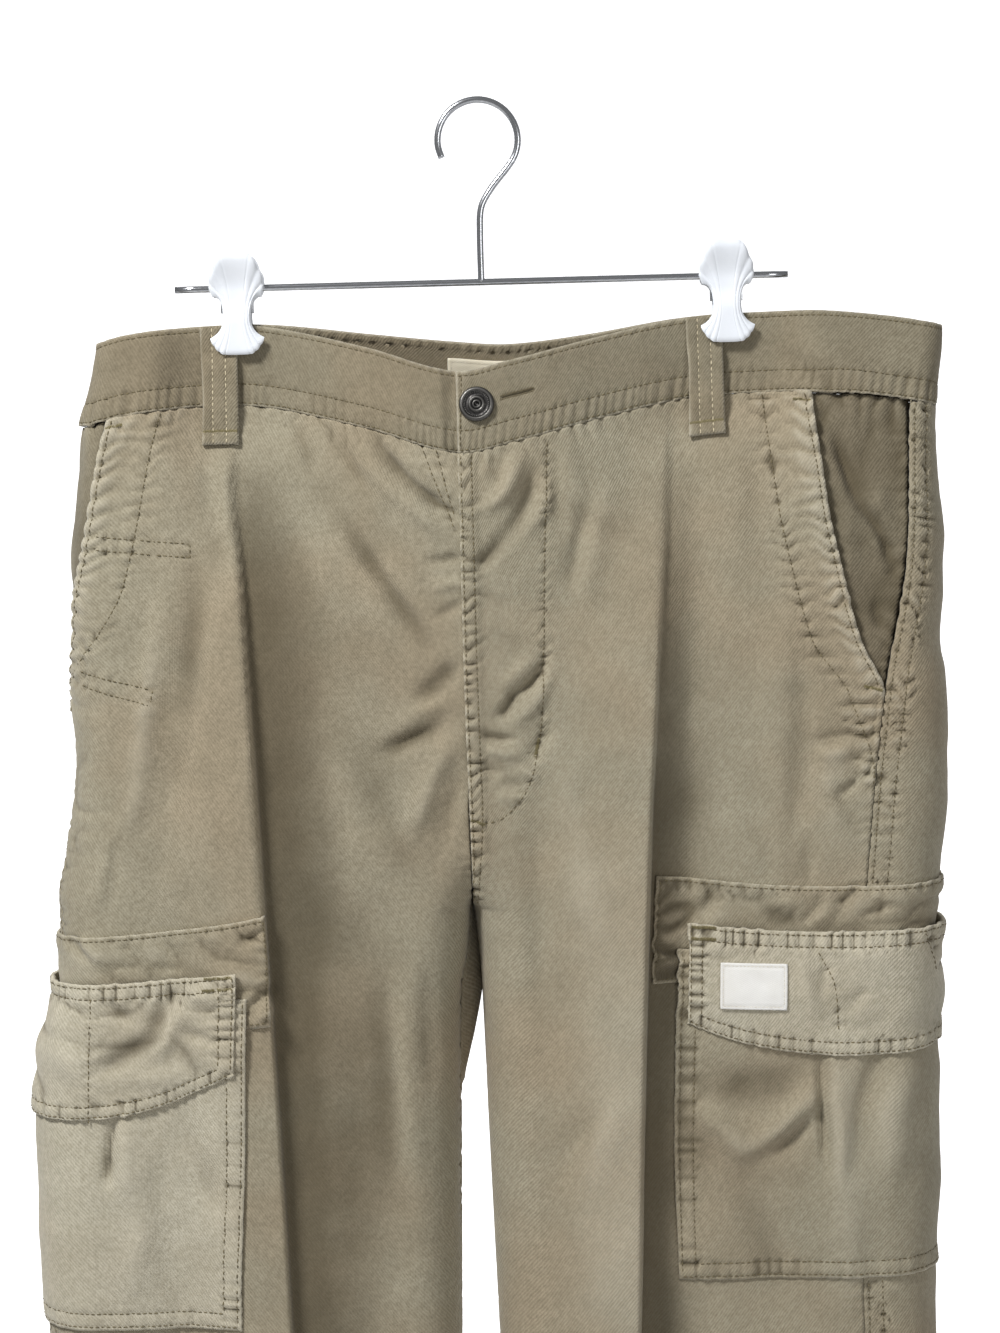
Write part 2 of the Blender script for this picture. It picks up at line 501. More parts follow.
def on_cloth(side, around, drop, lift):
    """Points lifted off the surface and its creases, their outward directions and the crease height."""
    step = 0.5
    base = bare_point(side, around, drop)
    along = bare_point(side, around + step, drop) - bare_point(side, around - step, drop)
    down = bare_point(side, around, drop + step) - bare_point(side, around, drop - step)
    normal = -side * np.cross(along, down)
    normal /= np.linalg.norm(normal, axis=-1, keepdims=True)
    creased = relief(side, around, base[..., 0], base[..., 2])
    return base + normal * (lift + creased)[..., None], normal, creased


print("creases", len(CREASES["face"]))

# %% [markdown]
# ## From a grid to a piece of cloth
#
# A flat grid is the natural start for cloth, because its lines can follow the seams. Its points are
# set on the surface, close together beside a stitched row and wider in the open cloth, and a
# Solidify modifier then gives the wall its thickness inwards. The grid's own layout becomes the UV
# map, in metres of real cloth, so the weave keeps its size and runs with the seams. A second
# attribute, rub, says where the cloth is worn pale (towards 1) or lies in a dark groove (towards -1).


# %% The cloth builder
def stretches(*parts):
    """Grid lines over one stretch after another, given as start, step, next start, step, ..., end."""
    lines = [[parts[0]]]
    for start, step, end in zip(parts[:-2:2], parts[1::2], parts[2::2]):
        lines.append(np.linspace(start, end, max(2, round((end - start) / step) + 1))[1:])
    return np.concatenate(lines)


def with_rows(lines, rows):
    """Sets a closer three of grid lines at each stitched row."""
    start, end = lines[0], lines[-1]
    for row in rows:
        apart = np.abs(lines - row) > 1.2
        apart[[0, -1]] = True
        lines = np.concatenate([lines[apart], [row - 0.8, row, row + 0.8]])
    return np.unique(lines[(lines >= start) & (lines <= end)])


def grid_lines(start, end, step, rows=()):
    return with_rows(stretches(start, step, end), rows)


def put_on(piece, node):
    """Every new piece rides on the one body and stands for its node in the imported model."""
    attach(piece, "root")
    if node:
        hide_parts(node)
    return piece


def mesh_of(bm, name):
    """Turns a finished bmesh into a mesh."""
    mesh = bpy.data.meshes.new(name)
    bm.to_mesh(mesh)
    bm.free()
    return mesh


def new_object(name, mesh, finish):
    piece = bpy.data.objects.new(name, mesh)
    bpy.context.scene.collection.objects.link(piece)
    mesh.materials.append(finish)
    mesh.shade_smooth()
    return piece


def declare_cut(us, vs, at):
    """States the flat size of a piece: the extent of its places, and the area of its grid's cells."""
    u, v = at(*np.meshgrid(us, vs, indexing="ij"))


def cloth_piece(name, node, us, vs, at, skin, thick, finish, slot="twill", hangs_from=None):
    """One piece of cloth. at(u, v) names a place on the cloth and skin(place) puts it in space."""
    bm = bmesh.new()
    bmesh.ops.create_grid(bm, x_segments=len(us) - 1, y_segments=len(vs) - 1, size=0.5)
    mesh = mesh_of(bm, name)
    flat = np.zeros(len(mesh.vertices) * 3)
    mesh.vertices.foreach_get("co", flat)
    flat = flat.reshape(-1, 3)
    column = np.rint((flat[:, 0] + 0.5) * (len(us) - 1)).astype(int)
    row = np.rint((0.5 - flat[:, 1]) * (len(vs) - 1)).astype(int)
    place = at(us[column], vs[row])
    points, outward, rub = skin(*place)
    mesh.vertices.foreach_set("co", (points * MM).ravel())
    mesh.update()
    normals = np.zeros(len(points) * 3)
    mesh.vertices.foreach_get("normal", normals)
    if np.sum(normals.reshape(-1, 3) * outward) < 0:
        mesh.flip_normals()
    corners = np.zeros(len(mesh.loops), int)
    mesh.loops.foreach_get("vertex_index", corners)
    layout = mesh.uv_layers.new(name="cloth")
    layout.data.foreach_set("uv", (np.stack(place, -1)[corners] * MM).ravel())
    mesh.attributes.new("rub", "FLOAT", "POINT").data.foreach_set("value", np.clip(rub, -1, 1))
    piece = new_object(name, mesh, finish)
    wall = piece.modifiers.new("wall", "SOLIDIFY")
    wall.thickness = thick * MM
    wall.offset = -1
    wall.use_rim = True
    put_on(piece, node)
    if hangs_from:
        declare_cut(us, vs, at)
    return piece


def edge_roll(*distances):
    """Lowers the outer face beside a folded edge, so that the edge reads as round."""
    nearest = np.minimum.reduce(distances)
    return -0.55 * np.exp(-((nearest / 0.9) ** 2)), nearest


def worn(nearest, local):
    """Pale along the edges and on the crests, dark in the grooves."""
    return 0.6 * np.exp(-((nearest / 1.2) ** 2)) + 0.38 * np.clip(local, -1.5, 1.4)

# %% [markdown]
# ## The twill
#
# Twill shows fine diagonal ribs, because each weft thread passes over two warps and steps along by
# one. Two crossed waves on the cloth's own UV map draw it: the ribs, and the threads that break
# them up. Washing leaves the cloth paler on its edges and pillows and darker in its grooves, and the
# dye has faded unevenly, warmer here and greyer there. A little sheen gives the soft cotton nap.


# %% Node helpers and the twill material
class Nodes:
    """Adds nodes to one material in short calls."""

    def __init__(self, name):
        self.material = bpy.data.materials.new(name)
        self.material.use_nodes = True
        self.tree = self.material.node_tree
        self.shader = self.tree.nodes["Principled BSDF"]

    def add(self, kind, inputs=(), output=0, **settings):
        node = self.tree.nodes.new("ShaderNode" + kind)
        for key, value in settings.items():
            setattr(node, key, value)
        for key, value in dict(inputs).items():
            self.join(value, node.inputs[key])
        return node.outputs[output]

    def join(self, value, socket):
        if isinstance(value, bpy.types.NodeSocket):
            self.tree.links.new(value, socket)
        else:
            socket.default_value = value

    def math(self, operation, *values):
        return self.add("Math", dict(enumerate(values)), operation=operation)

    def blend(self, factor, first, second, mode="MIX"):
        inputs = {0: factor, 6: first, 7: second}
        return self.add("Mix", inputs, output=2, data_type="RGBA", blend_type=mode)

    def noise(self, scale, detail=2.0, coordinates="Object", stretch=(1, 1, 1)):
        place = self.add("TexCoord", output=coordinates)
        moved = self.add("Mapping", {"Vector": place, "Scale": stretch})
        return self.add("TexNoise", {"Vector": moved, "Scale": scale, "Detail": detail})

    def span(self, value, low, high, to_low=0.0, to_high=1.0):
        inputs = {"Value": value, 1: low, 2: high, 3: to_low, 4: to_high}
        return self.add("MapRange", inputs, interpolation_type="SMOOTHSTEP")

    def finish(self, colour, roughness, height=None, distance=0.0001, strength=1.0, **constants):
        self.join(colour, self.shader.inputs["Base Color"])
        self.join(roughness, self.shader.inputs["Roughness"])
        if height is not None:
            bump = self.add("Bump", {"Height": height, "Distance": distance, "Strength": strength})
            self.join(bump, self.shader.inputs["Normal"])
        for socket, value in constants.items():
            self.shader.inputs[socket.replace("_", " ")].default_value = value
        return self.material


def rgb(red, green, blue):
    """A colour given as it looks on a screen, from 0 to 255, as the shader's linear values."""
    linear = [((c / 255 + 0.055) / 1.055) ** 2.4 for c in (red, green, blue)]
    return (*linear, 1.0)


RIB_PITCH = 0.00135


def woven(n, rib_pitch, lean=1.0):
    """Height of a twill weave, from 0 in the grooves to 1 on the ribs, on the cloth's UV map."""
    place = n.add("SeparateXYZ", {"Vector": n.add("UVMap", uv_map="cloth")}, output=0)
    split = place.node
    x, y = split.outputs[0], split.outputs[1]
    turn = 2 * math.pi / rib_pitch
    slanted = n.math("ADD", n.math("MULTIPLY", x, 0.8 * lean), n.math("MULTIPLY", y, 0.6))
    waver = n.math("MULTIPLY", n.noise(320, 2, "UV"), 0.6 * rib_pitch)
    ribs = n.math("SINE", n.math("MULTIPLY", n.math("ADD", slanted, waver), turn))
    threads = n.math("SINE", n.math("MULTIPLY", x, 1.9 * turn))
    both = n.math("ADD", n.math("MULTIPLY", ribs, 0.36), n.math("MULTIPLY", threads, 0.14))
    return n.math("ADD", both, 0.5)


def twill(name, faded, deep, warm):
    n = Nodes(name)
    weave = woven(n, RIB_PITCH)
    rub = n.add("Attribute", output=2, attribute_name="rub", attribute_type="GEOMETRY")
    cloud = n.span(n.noise(11, 4), 0.34, 0.66)
    patches = n.span(n.noise(38, 3), 0.3, 0.7)
    ground = n.blend(n.math("MULTIPLY", cloud, 0.7), rgb(*faded), rgb(*warm))
    ground = n.blend(n.math("MULTIPLY", patches, 0.2), ground, rgb(*deep))
    mottle = n.span(n.noise(420, 3), 0.3, 0.72)
    ground = n.blend(n.math("MULTIPLY", mottle, 0.4), ground, rgb(*deep))
    fuzz = n.span(n.noise(900, 2), 0.35, 0.75)
    grain = n.math("MULTIPLY", n.math("SUBTRACT", 1.0, weave), n.span(fuzz, 0, 1, 0.3, 0.7))
    ground = n.blend(grain, ground, rgb(*deep))
    pale = n.math("MULTIPLY", n.span(rub, 0.05, 1.0), n.span(fuzz, 0, 1, 0.45, 0.75))
    ground = n.blend(pale, ground, rgb(204, 197, 178))
    dark = n.math("MULTIPLY", n.span(rub, -0.05, -0.62), 0.78)
    ground = n.blend(dark, ground, rgb(88, 79, 60))
    height = n.math("ADD", weave, n.math("MULTIPLY", n.noise(240, 3), 2.2))
    constants = {"Sheen_Weight": 0.14, "Sheen_Roughness": 0.5, "Specular_IOR_Level": 0.2}
    return n.finish(ground, n.span(weave, 0, 1, 0.95, 0.86), height, 0.0003, 0.7, **constants)


TWILL = twill("khaki_twill", (173, 166, 145), (122, 113, 92), (169, 152, 127))
TWILL_BAND = twill("khaki_twill_band", (151, 144, 124), (106, 97, 77), (148, 134, 111))
TWILL_FADED = twill("khaki_twill_faded", (204, 198, 179), (146, 138, 116), (194, 182, 160))
TWILL_SHADE = twill("khaki_twill_unworn", (138, 130, 110), (92, 84, 66), (132, 120, 100))
print("twill rib pitch", RIB_PITCH)

# %% [markdown]
# ## Fronts and backs
#
# Each leg is a front and a back panel. They meet at the side seam, the inseam and the centre seams,
# and each front is cut away along the slant of its pocket. Their grids keep fixed distances from
# both edges, so that the stitched rows beside a seam fall on grid lines from top to hem.
#
# The seams make most of the character. Stitches shrink a little in the wash, so the cloth stands up
# between them in short pillows across the seam. The fly's edge is folded over several layers, so it
# stands higher than the cloth beside it, and the hem is turned up double.


# %% Panels
def fit(v, nominal, actual, keep_start, keep_end):
    """Fits grid lines to a length that varies, and keeps their distances from both edges."""
    scale = (actual - keep_start - keep_end) / (nominal - keep_start - keep_end)
    middle = keep_start + (v - keep_start) * scale
    return np.where(v < keep_start, v, np.where(v > nominal - keep_end, actual - nominal + v, middle))


def seam_effect(away, along, rows, height, pitch, reach, seed):
    """Cloth beside a seam: pillows across its stitched rows, and a groove at each row."""
    middle, half = (rows[0] + rows[-1]) / 2, (rows[-1] - rows[0]) / 2
    beyond = np.maximum(0, np.abs(away - middle) - half)
    local = puckers(along, beyond, reach, height, pitch, seed)
    for row in rows:
        local = local + channel(away - row)
    return local


def place_of(side, face, x, z):
    """The way round and the drop of a place given by X and Z."""
    x, z = np.asarray(x, float), np.asarray(z, float)
    drop, bare = WAIST_LEVEL - z, x
    for _ in range(8):
        drop = drop + level_at(face, bare, drop) - z
        around = around_at(side, face, bare, drop)
        bare = x - flare(side, around, z)
    return around, drop


FLY_CURVE = rounded(
    [(31.5, -178), (29, -232), (27, -292), (25, -326), (22, -342), (16, -359), (4, -372), (-6.5, -375)]
)
FLY_TOPS = [rounded([(-26, -178), (-17, -215)]), rounded([(-33, -178), (-17, -222)])]
POCKET_BARS = [
    rounded([(-204, -221), (-180, -223.5), (-155, -226)]),
    rounded([(-204, -228), (-180, -230.5), (-155, -233)]),
    rounded([(-155, -226), (-155, -233)]),
    rounded([(-217, -291), (-197, -296), (-175, -301)]),
    rounded([(-216, -298), (-196, -304), (-177, -309)]),
    rounded([(-175, -301), (-177, -309)]),
]
LINES_ON = {(-1, -1): FLY_TOPS + POCKET_BARS, (1, -1): [FLY_CURVE], (-1, 1): [], (1, 1): []}
MOUTH_ROW, MOUTH_BAND = 3, 25
MOUTH_BAND_END = {-1: (130, 197), 1: (170, 246)}
FLY_ROWS = (2, 9)
SEAT_ROWS = (2, 8)
SIDE_ROWS = (2.5, 9.5)
HEM_ROW = 22
FLY_RISE = 1.9
MOUTH_STAND = 1.9
PANEL_WIDE = 235
CARGO_LEVELS = ("patch_top", "patch_dip", "patch_foot", "flap_top", "flap_dip", "flap_tip")
CARGO = {
    -1: dict(zip(CARGO_LEVELS, (304, 11, 366, 333, 6, 411))),
    1: dict(zip(CARGO_LEVELS, (289, 9, 350, 315, 6, 386))),
}
PATCH_HALF, POCKET_HALF, FLAP_HALF = 108, 96, 91
FLAP_END, POCKET_UNDER, POCKET_HEIGHT, POCKET_PUFF = 53, 14, 176, 2.2


def panel_edge(side, face, drop):
    """The way round at a panel's outer edge: the side seam, or on a front the pocket's mouth."""
    seam = seam_of[side](drop)
    if face > 0:
        return seam + SEAM_GAP / 2
    return seam + np.minimum(0, mouth_of(drop)) - SEAM_GAP / 2


def panel_at(side, face, under=0):
    """Grid places of a panel, counted from its inner seam and from the waistband down."""

    def at(u, v):
        inner = half_at(side, face, v).full - SEAM_GAP / 2
        start = -under * (1 - ramp(200, 250, v))
        width = inner - face * panel_edge(side, face, v)
        return face * (inner - start - fit(u, PANEL_WIDE, width - start, 16, 32)), v

    return at


def uncovered(side, around, drop):
    """0 on the cloth that lies under the cargo pocket and its patch, 1 elsewhere."""
    cargo = CARGO[side]
    foot = cargo["flap_top"] + POCKET_UNDER + POCKET_HEIGHT
    across = np.abs(around - seam_of[side](drop))
    over = 1 - ramp(POCKET_HALF - 4, POCKET_HALF + 2, across)
    over = over * ramp(cargo["patch_top"] + 8, cargo["patch_top"] + 14, drop)
    return 1 - over * (1 - ramp(foot - 5, foot, drop))


def panel_skin(side, face):
    seed = 200 + 20 * side + 5 * face
    fly = side > 0 and face < 0

    def skin(around, drop):
        h = half_at(side, face, drop)
        inner = h.full - SEAM_GAP / 2 - np.abs(around)
        outer = np.abs(around - panel_edge(side, face, drop))
        base = bare_point(side, around, drop)
        x, z = base[..., 0], base[..., 2]
        local = puckers(around, drop - WAISTBAND, 10, 1.2, 8, seed)
        edges = [HEM - drop]
        if face < 0:
            above = 1 - ramp(190, 205, drop)
            band = MOUTH_BAND * (1 - ramp(*MOUTH_BAND_END[side], drop))
            pillow, pitch = (2.7, 8.2) if side > 0 else (1.9, 8)
            mouth = seam_effect(outer, drop, (MOUTH_ROW,), pillow, pitch, 11, seed + 1)
            mouth = mouth + seam_effect(outer, drop, (band,), 0.8 * pillow, pitch, 7, seed + 7)
            local = local + mouth * (1 - ramp(MOUTH_BAND_END[side][1] - 6, MOUTH_BAND_END[side][1] + 4, drop))
            local = local + puckers(drop, outer, 9, 0.9, 7, seed + 2) * (1 - above)
            local = local + MOUTH_STAND * above * (1 - ramp(0, 16, outer))
            edges.append(np.where(above > 0.2, outer, 99))
        else:
            high = 1.5 + 0.6 * side
            for k, row in enumerate(SIDE_ROWS):
                local = local + seam_effect(outer, drop, (row,), high, 6.6, 5.5, seed + 2 + 30 * k)
        rise = shows = 0
        if fly:
            rows = (FLY_ROWS[0], mix(FLY_ROWS[1], 6.5, ramp(240, 290, drop)))
            seam = seam_effect(inner, drop, rows[:1], 2.3, 7.5, 9, seed + 3) + channel(inner - rows[1])
            local = local + seam * (1 - ramp(296, 306, drop))
            rise = FLY_RISE * (1 - ramp(8, 15, inner)) * (1 - ramp(250, 290, drop))
            edges.append(np.where(drop < 292, inner, 99))
        elif face > 0:
            local = local + seam_effect(inner, drop, SEAT_ROWS, 1.6, 6.5, 5, seed + 3)
        else:
            local = local + puckers(drop, inner, 7, 0.8, 6, seed + 3) * ramp(255, 285, drop)
        local = local + puckers(drop, inner, 7, 0.6, 8, seed + 4) * ramp(300, 320, drop)
        local = local + seam_effect(np.abs(HEM - drop), around, (HEM_ROW,), 0.8, 9, 7, seed + 5)
        if face < 0:
            below = np.exp(-(((outer - 13) / 17) ** 2)) * ramp(150, 205, drop) * (1 - ramp(255, 292, drop))
            local = local + 1.7 * below * crumple(outer, drop, 21, 11, seed + 8)
        for path in LINES_ON[side, face]:
            along, away = near_path(x, z, path)
            local = local + channel(away, 1.1) + puckers(along, away, 4.5, 1.3, 6.5, seed + 6)
        local = local * uncovered(side, around, drop)
        roll, nearest = edge_roll(*edges)
        if (side, face) == (-1, 1):
            behind = ramp(297, 304, drop) * np.clip((410 - drop) / 58, 0, 1)
            gap = inseam_of[1](drop) - inseam_of[-1](drop) - 0.05 + 3 * ramp(4, 9.5, inner)
            shows = gap * behind * ramp(0, 5, inner) * (1 - ramp(14, 34, inner))
            local = local * (1 - ramp(0, 0.3, behind) * (1 - ramp(20, 40, inner)))
        turned = HEM_EXTRA * ramp(HEM - HEM_TURN - 1.5, HEM - HEM_TURN + 1.5, drop)
        points, outward, creased = on_cloth(side, around, drop, CLOTH + rise + turned + local + roll)
        beyond = side * (points[..., 0] - h.seam_x) < 0
        points[..., 0] = np.where(beyond & (drop > 262), h.seam_x, points[..., 0]) - side * shows
        return points, outward, worn(nearest, local + 0.25 * creased)

    return skin


def side_name(side):
    return "left" if side < 0 else "right"


PANEL_US = {-1: (0, 1.5, 14, 3.0, 72, 1.2, 122, 3.0, 200, 1.6), 1: (0, 1.8, 12, 3.4, 218, 1.6)}
FLY_US = (0, 1.5, 14, 2.8, 45, 1.3, 66, 3.0, 72, 1.2, 122, 3.0, 200, 1.6)
PANEL_VS = {-1: (1.5, 335, 2.5, 545, 1.8, HEM), 1: (2.1, 330, 3, 550, 2, HEM)}
skins = {}
cloths = {}
for face, part in ((-1, "front"), (1, "back")):
    for side in (-1, 1):
        node = f"{part}_{side_name(side)}"
        under = 5 if (side, face) == (-1, -1) else 0
        near_inner = {(1, -1): FLY_ROWS, (-1, -1): (2,)}.get((side, face), SEAT_ROWS)
        near_outer = (MOUTH_ROW, MOUTH_BAND) if face < 0 else SIDE_ROWS
        us = stretches(*(FLY_US if (side, face) == (1, -1) else PANEL_US[face]), PANEL_WIDE)
        us = with_rows(us, [*near_inner, *(PANEL_WIDE - row for row in near_outer)])
        vs = with_rows(stretches(WAISTBAND + 0.05, *PANEL_VS[face]), [HEM - HEM_ROW])
        skins[node] = panel_skin(side, face)
        cloths[node] = cloth_piece(
            *(f"{node}_cloth", node, us, vs, panel_at(side, face, under), skins[node], CLOTH, TWILL),
            hangs_from=[f"waistband_{side_name(side)}"],
        )
        print(node, "grid", len(us), "by", len(vs))

# %% [markdown]
# ## Waistband
#
# The waistband is one long strip folded double, in two halves that close at the fly. The left half
# runs on behind the right one as a tongue, and sinks a little deeper there to make room. Its rows of
# stitches lie close to its top edge and in a pair at its foot, with the cloth tightly pillowed
# between the pair.


# %% The two halves of the waistband
TONGUE = 36
OVERLAP_DROP = DOUBLE + 1.2
OVERLAP_STAND = 0.9
BAND_ROWS = (2.8, 31, 41)
BAND_WIDE = 440
BUTTON_DROP = 18.5


def band_at(side):
    def at(u, v):
        front = half_at(side, -1, v).full - SEAM_GAP / 2 + (TONGUE if side < 0 else 0)
        back = half_at(side, 1, v).full - SEAM_GAP / 2
        return fit(u, BAND_WIDE, front + back, 60, 20) - front, v

    return at


def band_skin(side):
    seed = 300 + 10 * side

    def skin(around, drop):
        front = around < 0
        full = np.where(front, half_at(side, -1, drop).full, half_at(side, 1, drop).full)
        end = full - SEAM_GAP / 2 - np.abs(around)
        end = np.where(front & (side < 0), end + TONGUE, end)
        pair = 0.5 * (BAND_ROWS[1] + BAND_ROWS[2])
        within = np.maximum(0, np.abs(drop - pair) - 5)
        local = puckers(around + 0.15 * drop, within, 3.4, 0.85, 5.4, seed)
        local = local + puckers(around, drop, 5, 0.7, 7, seed + 1)
        for row in BAND_ROWS:
            local = local + channel(drop - row, 0.8)
        if side > 0:
            near = np.where(front, end, 99)
            local = local + channel(near - 3, 0.8) + puckers(drop, near, 5, 0.25, 7, seed + 2)
            local = local + OVERLAP_STAND * (1 - ramp(4, 15, near))
            x = bare_point(side, around, drop)[..., 0]
            slit = ramp(8, 9.5, x) * (1 - ramp(24, 25.5, x)) * front
            local = local - 1.3 * slit * np.exp(-(((drop - BUTTON_DROP) / 0.7) ** 2))
        roll, nearest = edge_roll(drop, WAISTBAND - drop, np.where(front, end, 99))
        points, outward, creased = on_cloth(side, around, drop, DOUBLE + local + roll)
        if side < 0:
            under = ramp(FRONT_CENTRE - 9, FRONT_CENTRE - 1.5, points[..., 0])
            points[..., 1] += np.where(front, OVERLAP_DROP * under, 0)
        return points, outward, worn(nearest, local + 0.25 * creased)

    return skin


for side in (-1, 1):
    node = f"waistband_{side_name(side)}"
    us = grid_lines(0, BAND_WIDE + (TONGUE if side < 0 else 0), 0.9, [3] if side > 0 else [])
    vs = grid_lines(0, WAISTBAND, 2.0, (*BAND_ROWS, BUTTON_DROP) if side > 0 else BAND_ROWS)
    skins[node] = band_skin(side)
    cloths[node] = cloth_piece(
        *(f"{node}_cloth", node, us, vs, band_at(side), skins[node], DOUBLE, TWILL_BAND),
        hangs_from=[f"clip_{part}_{side_name(side)}" for part in ("front", "back")],
    )
    print(node, "grid", len(us), "by", len(vs))

# %% [markdown]
# ## Cargo pockets
#
# A patch is sewn flat on the leg over the side seam. The pocket bag is sewn on below it and stands a
# little off the leg in its middle, and a pointed flap covers its mouth. All three use the same grid
# of two sizes: the way across from the side seam, and the drop. The patch is stitched once inside
# its edge, and the pocket and flap twice, so each has a puckered band there.


# %% Patches, pockets and flaps
PATCH_LOW = CLOTH + LAYER - 0.2
POCKET_SEAM_ROWS = (2, 9)
FLAP_EDGE_ROWS = (1.4, 7)
FLAP_TOP_ROWS = (2, 8)


def patch_top(cargo, share):
    return cargo["patch_top"] + cargo["patch_dip"] * (1 - share**2)


def patch_foot(cargo, share):
    return cargo["patch_foot"] - 4 * share**2


def pocket_top(cargo, share):
    return cargo["flap_top"] + POCKET_UNDER + 0 * share


def pocket_foot(cargo, share):
    return pocket_top(cargo, share) + POCKET_HEIGHT


def flap_top(cargo, share):
    return cargo["flap_top"] + cargo["flap_dip"] * (1 - share**2)


def flap_foot(cargo, share):
    end = cargo["flap_top"] + FLAP_END
    return end + (cargo["flap_tip"] - end) * (1 - share**2.2)


def pocket_low(cargo, share, drop):
    """How far the inside of the pocket stands off the surface."""
    top, foot = pocket_top(cargo, 0), pocket_foot(cargo, 0)
    off_patch = ramp(cargo["patch_foot"] + 2, cargo["patch_foot"] + 26, drop)
    on_patch = mix(PATCH_LOW + CLOTH + SEAM_GAP, PATCH_LOW, off_patch)
    puff = ramp(top - 40, top + 60, drop) * (1 - ramp(foot - 50, foot, drop)) * (1 - ramp(0.62, 1, share))
    return on_patch + POCKET_PUFF * puff


def over_seam_at(side, half, top, foot, high):
    """Grid places over the side seam: u across from it, v down from the piece's top edge."""
    cargo = CARGO[side]

    def at(u, v):
        share = np.abs(u) / half
        start, end = top(cargo, share), foot(cargo, share)
        return u, start + fit(v, high, end - start, 11, 11)

    return at


def over_seam_skin(side, half, top, foot, outer, local_form, notch=0):
    """outer gives the lift of the outer face, and local_form the pillows and grooves on it."""
    cargo = CARGO[side]

    def skin(across, drop):
        share = np.abs(across) / half
        from_top, from_foot = drop - top(cargo, share), foot(cargo, share) - drop
        from_end = half - np.abs(across)
        around = seam_of[side](drop) + across
        base = bare_point(side, around, drop)
        local = local_form(side, across, drop, from_top, from_foot, from_end, base)
        roll, nearest = edge_roll(from_top, from_foot, from_end)
        lift = outer(cargo, share, drop) + local + roll
        points, outward, creased = on_cloth(side, around, drop, lift)
        return points, outward, worn(nearest, local + 0.25 * creased)

    return skin


def patch_form(side, across, drop, from_top, from_foot, from_end, base):
    seed = 400 + 10 * side
    edge = np.minimum(from_end, from_top)
    local = seam_effect(edge, np.where(from_end < from_top, drop, across), (2.2,), 1.4, 7.5, 7, seed)
    return local + 2.3 * crumple(across + 0.5 * drop, drop, 19, 12, seed + 5) * ramp(1, 9, edge)


def pocket_form(side, across, drop, from_top, from_foot, from_end, base):
    seed = 430 + 10 * side
    ends = seam_effect(from_end, drop, POCKET_SEAM_ROWS, 1.5, 7, 4, seed)
    feet = seam_effect(from_foot, across, POCKET_SEAM_ROWS, 1.0, 7, 4, seed + 1)
    return ends + feet + 0.9 * crumple(across, drop, 44, 60, seed + 2)


def flap_form(side, across, drop, from_top, from_foot, from_end, base):
    seed = 460 + 10 * side
    edge = np.minimum(from_end, from_foot)
    round_edge = np.where(from_end < from_foot, drop, across)
    local = seam_effect(edge, round_edge, FLAP_EDGE_ROWS, 1.9, 6, 3.5, seed)
    local = local + seam_effect(from_top, across, FLAP_TOP_ROWS, 2.3, 6.2, 5, seed + 1)
    for path in FLAP_SEAMS[side]:
        along, away = near_path(base[..., 0], base[..., 2], path)
        local = local + channel(away, 1.1) + puckers(along, away, 5, 1.4, 7, seed + 2)
    inside = ramp(2, 12, np.minimum(edge, from_top))
    return local + (2.0 - 0.7 * side) * inside * crumple(across + 0.3 * drop, drop, 27, 19, seed + 3)


FLAP_SEAMS = {
    -1: [rounded([(-211, -461), (-214, -495), (-216, -527)])],
    1: [
        rounded([(166, -446), (174, -463), (176, -488)]),
        rounded([(219, -438), (224, -450), (227, -461)]),
    ],
}


def patch_outer(cargo, share, drop):
    return PATCH_LOW + CLOTH + 0 * drop


def pocket_outer(cargo, share, drop):
    return pocket_low(cargo, share, drop) + CLOTH


def flap_outer(cargo, share, drop):
    return pocket_outer(cargo, share, drop) + LAYER + FLAP_CLOTH


CARGO_PIECES = [
    (
        *("cargo_patch", "front", PATCH_HALF, patch_top, patch_foot, 62),
        *(patch_outer, patch_form, CLOTH, (2.2,), (2.2,)),
    ),
    (
        *("cargo_pocket", "cargo_patch", POCKET_HALF, pocket_top, pocket_foot, POCKET_HEIGHT),
        *(pocket_outer, pocket_form, CLOTH, POCKET_SEAM_ROWS, POCKET_SEAM_ROWS),
    ),
    (
        *("cargo_flap", "cargo_patch", FLAP_HALF, flap_top, flap_foot, 70),
        *(flap_outer, flap_form, FLAP_CLOTH, FLAP_EDGE_ROWS, FLAP_EDGE_ROWS),
    ),
]
for name, under, half, top, foot, high, outer, form, thick, end_rows, foot_rows in CARGO_PIECES:
    for side in (-1, 1):
        node = f"{name}_{side_name(side)}"
        ends = [end - half for end in end_rows] + [half - end for end in end_rows]
        us = grid_lines(-half, half, 1.9, ends)
        middle = 2.9 if high > 100 else 1.9
        vs = stretches(0, 1.6, 24, middle, high - 20, 1.6, high)
        vs = with_rows(vs, [2.2, 8, *(high - row for row in foot_rows)])
        at = over_seam_at(side, half, top, foot, high)
        skins[node] = over_seam_skin(side, half, top, foot, outer, form)
        finish = TWILL_FADED if name == "cargo_flap" or (side < 0 and name == "cargo_pocket") else TWILL
        cloths[node] = cloth_piece(
            *(f"{node}_cloth", node, us, vs, at, skins[node], thick, finish),
            hangs_from=[f"{under}_{side_name(side)}"],
        )
    print(name, "grid", len(us), "by", len(vs))

# %% [markdown]
# ## Belt loops
#
# A loop is a strip folded in three, with a stitched row along each third. It is caught at its top,
# stands a little off the waistband in its middle, and its foot is folded under and sewn down.


# %% Belt loops
LOOP_WIDTH, LOOP_LENGTH, LOOP_CLOTH = 19.5, 64, 1.8
LOOP_ROWS = (-3.4, 3.4)
LOOP_STAND = 2
LOOPS = [
    ("belt_loop_front_left", -1, -138.5),
    ("belt_loop_front_right", -1, 116),
    ("belt_loop_back_left", 1, -60),
    ("belt_loop_back_centre", 1, BACK_CENTRE),
    ("belt_loop_back_right", 1, 100),
]


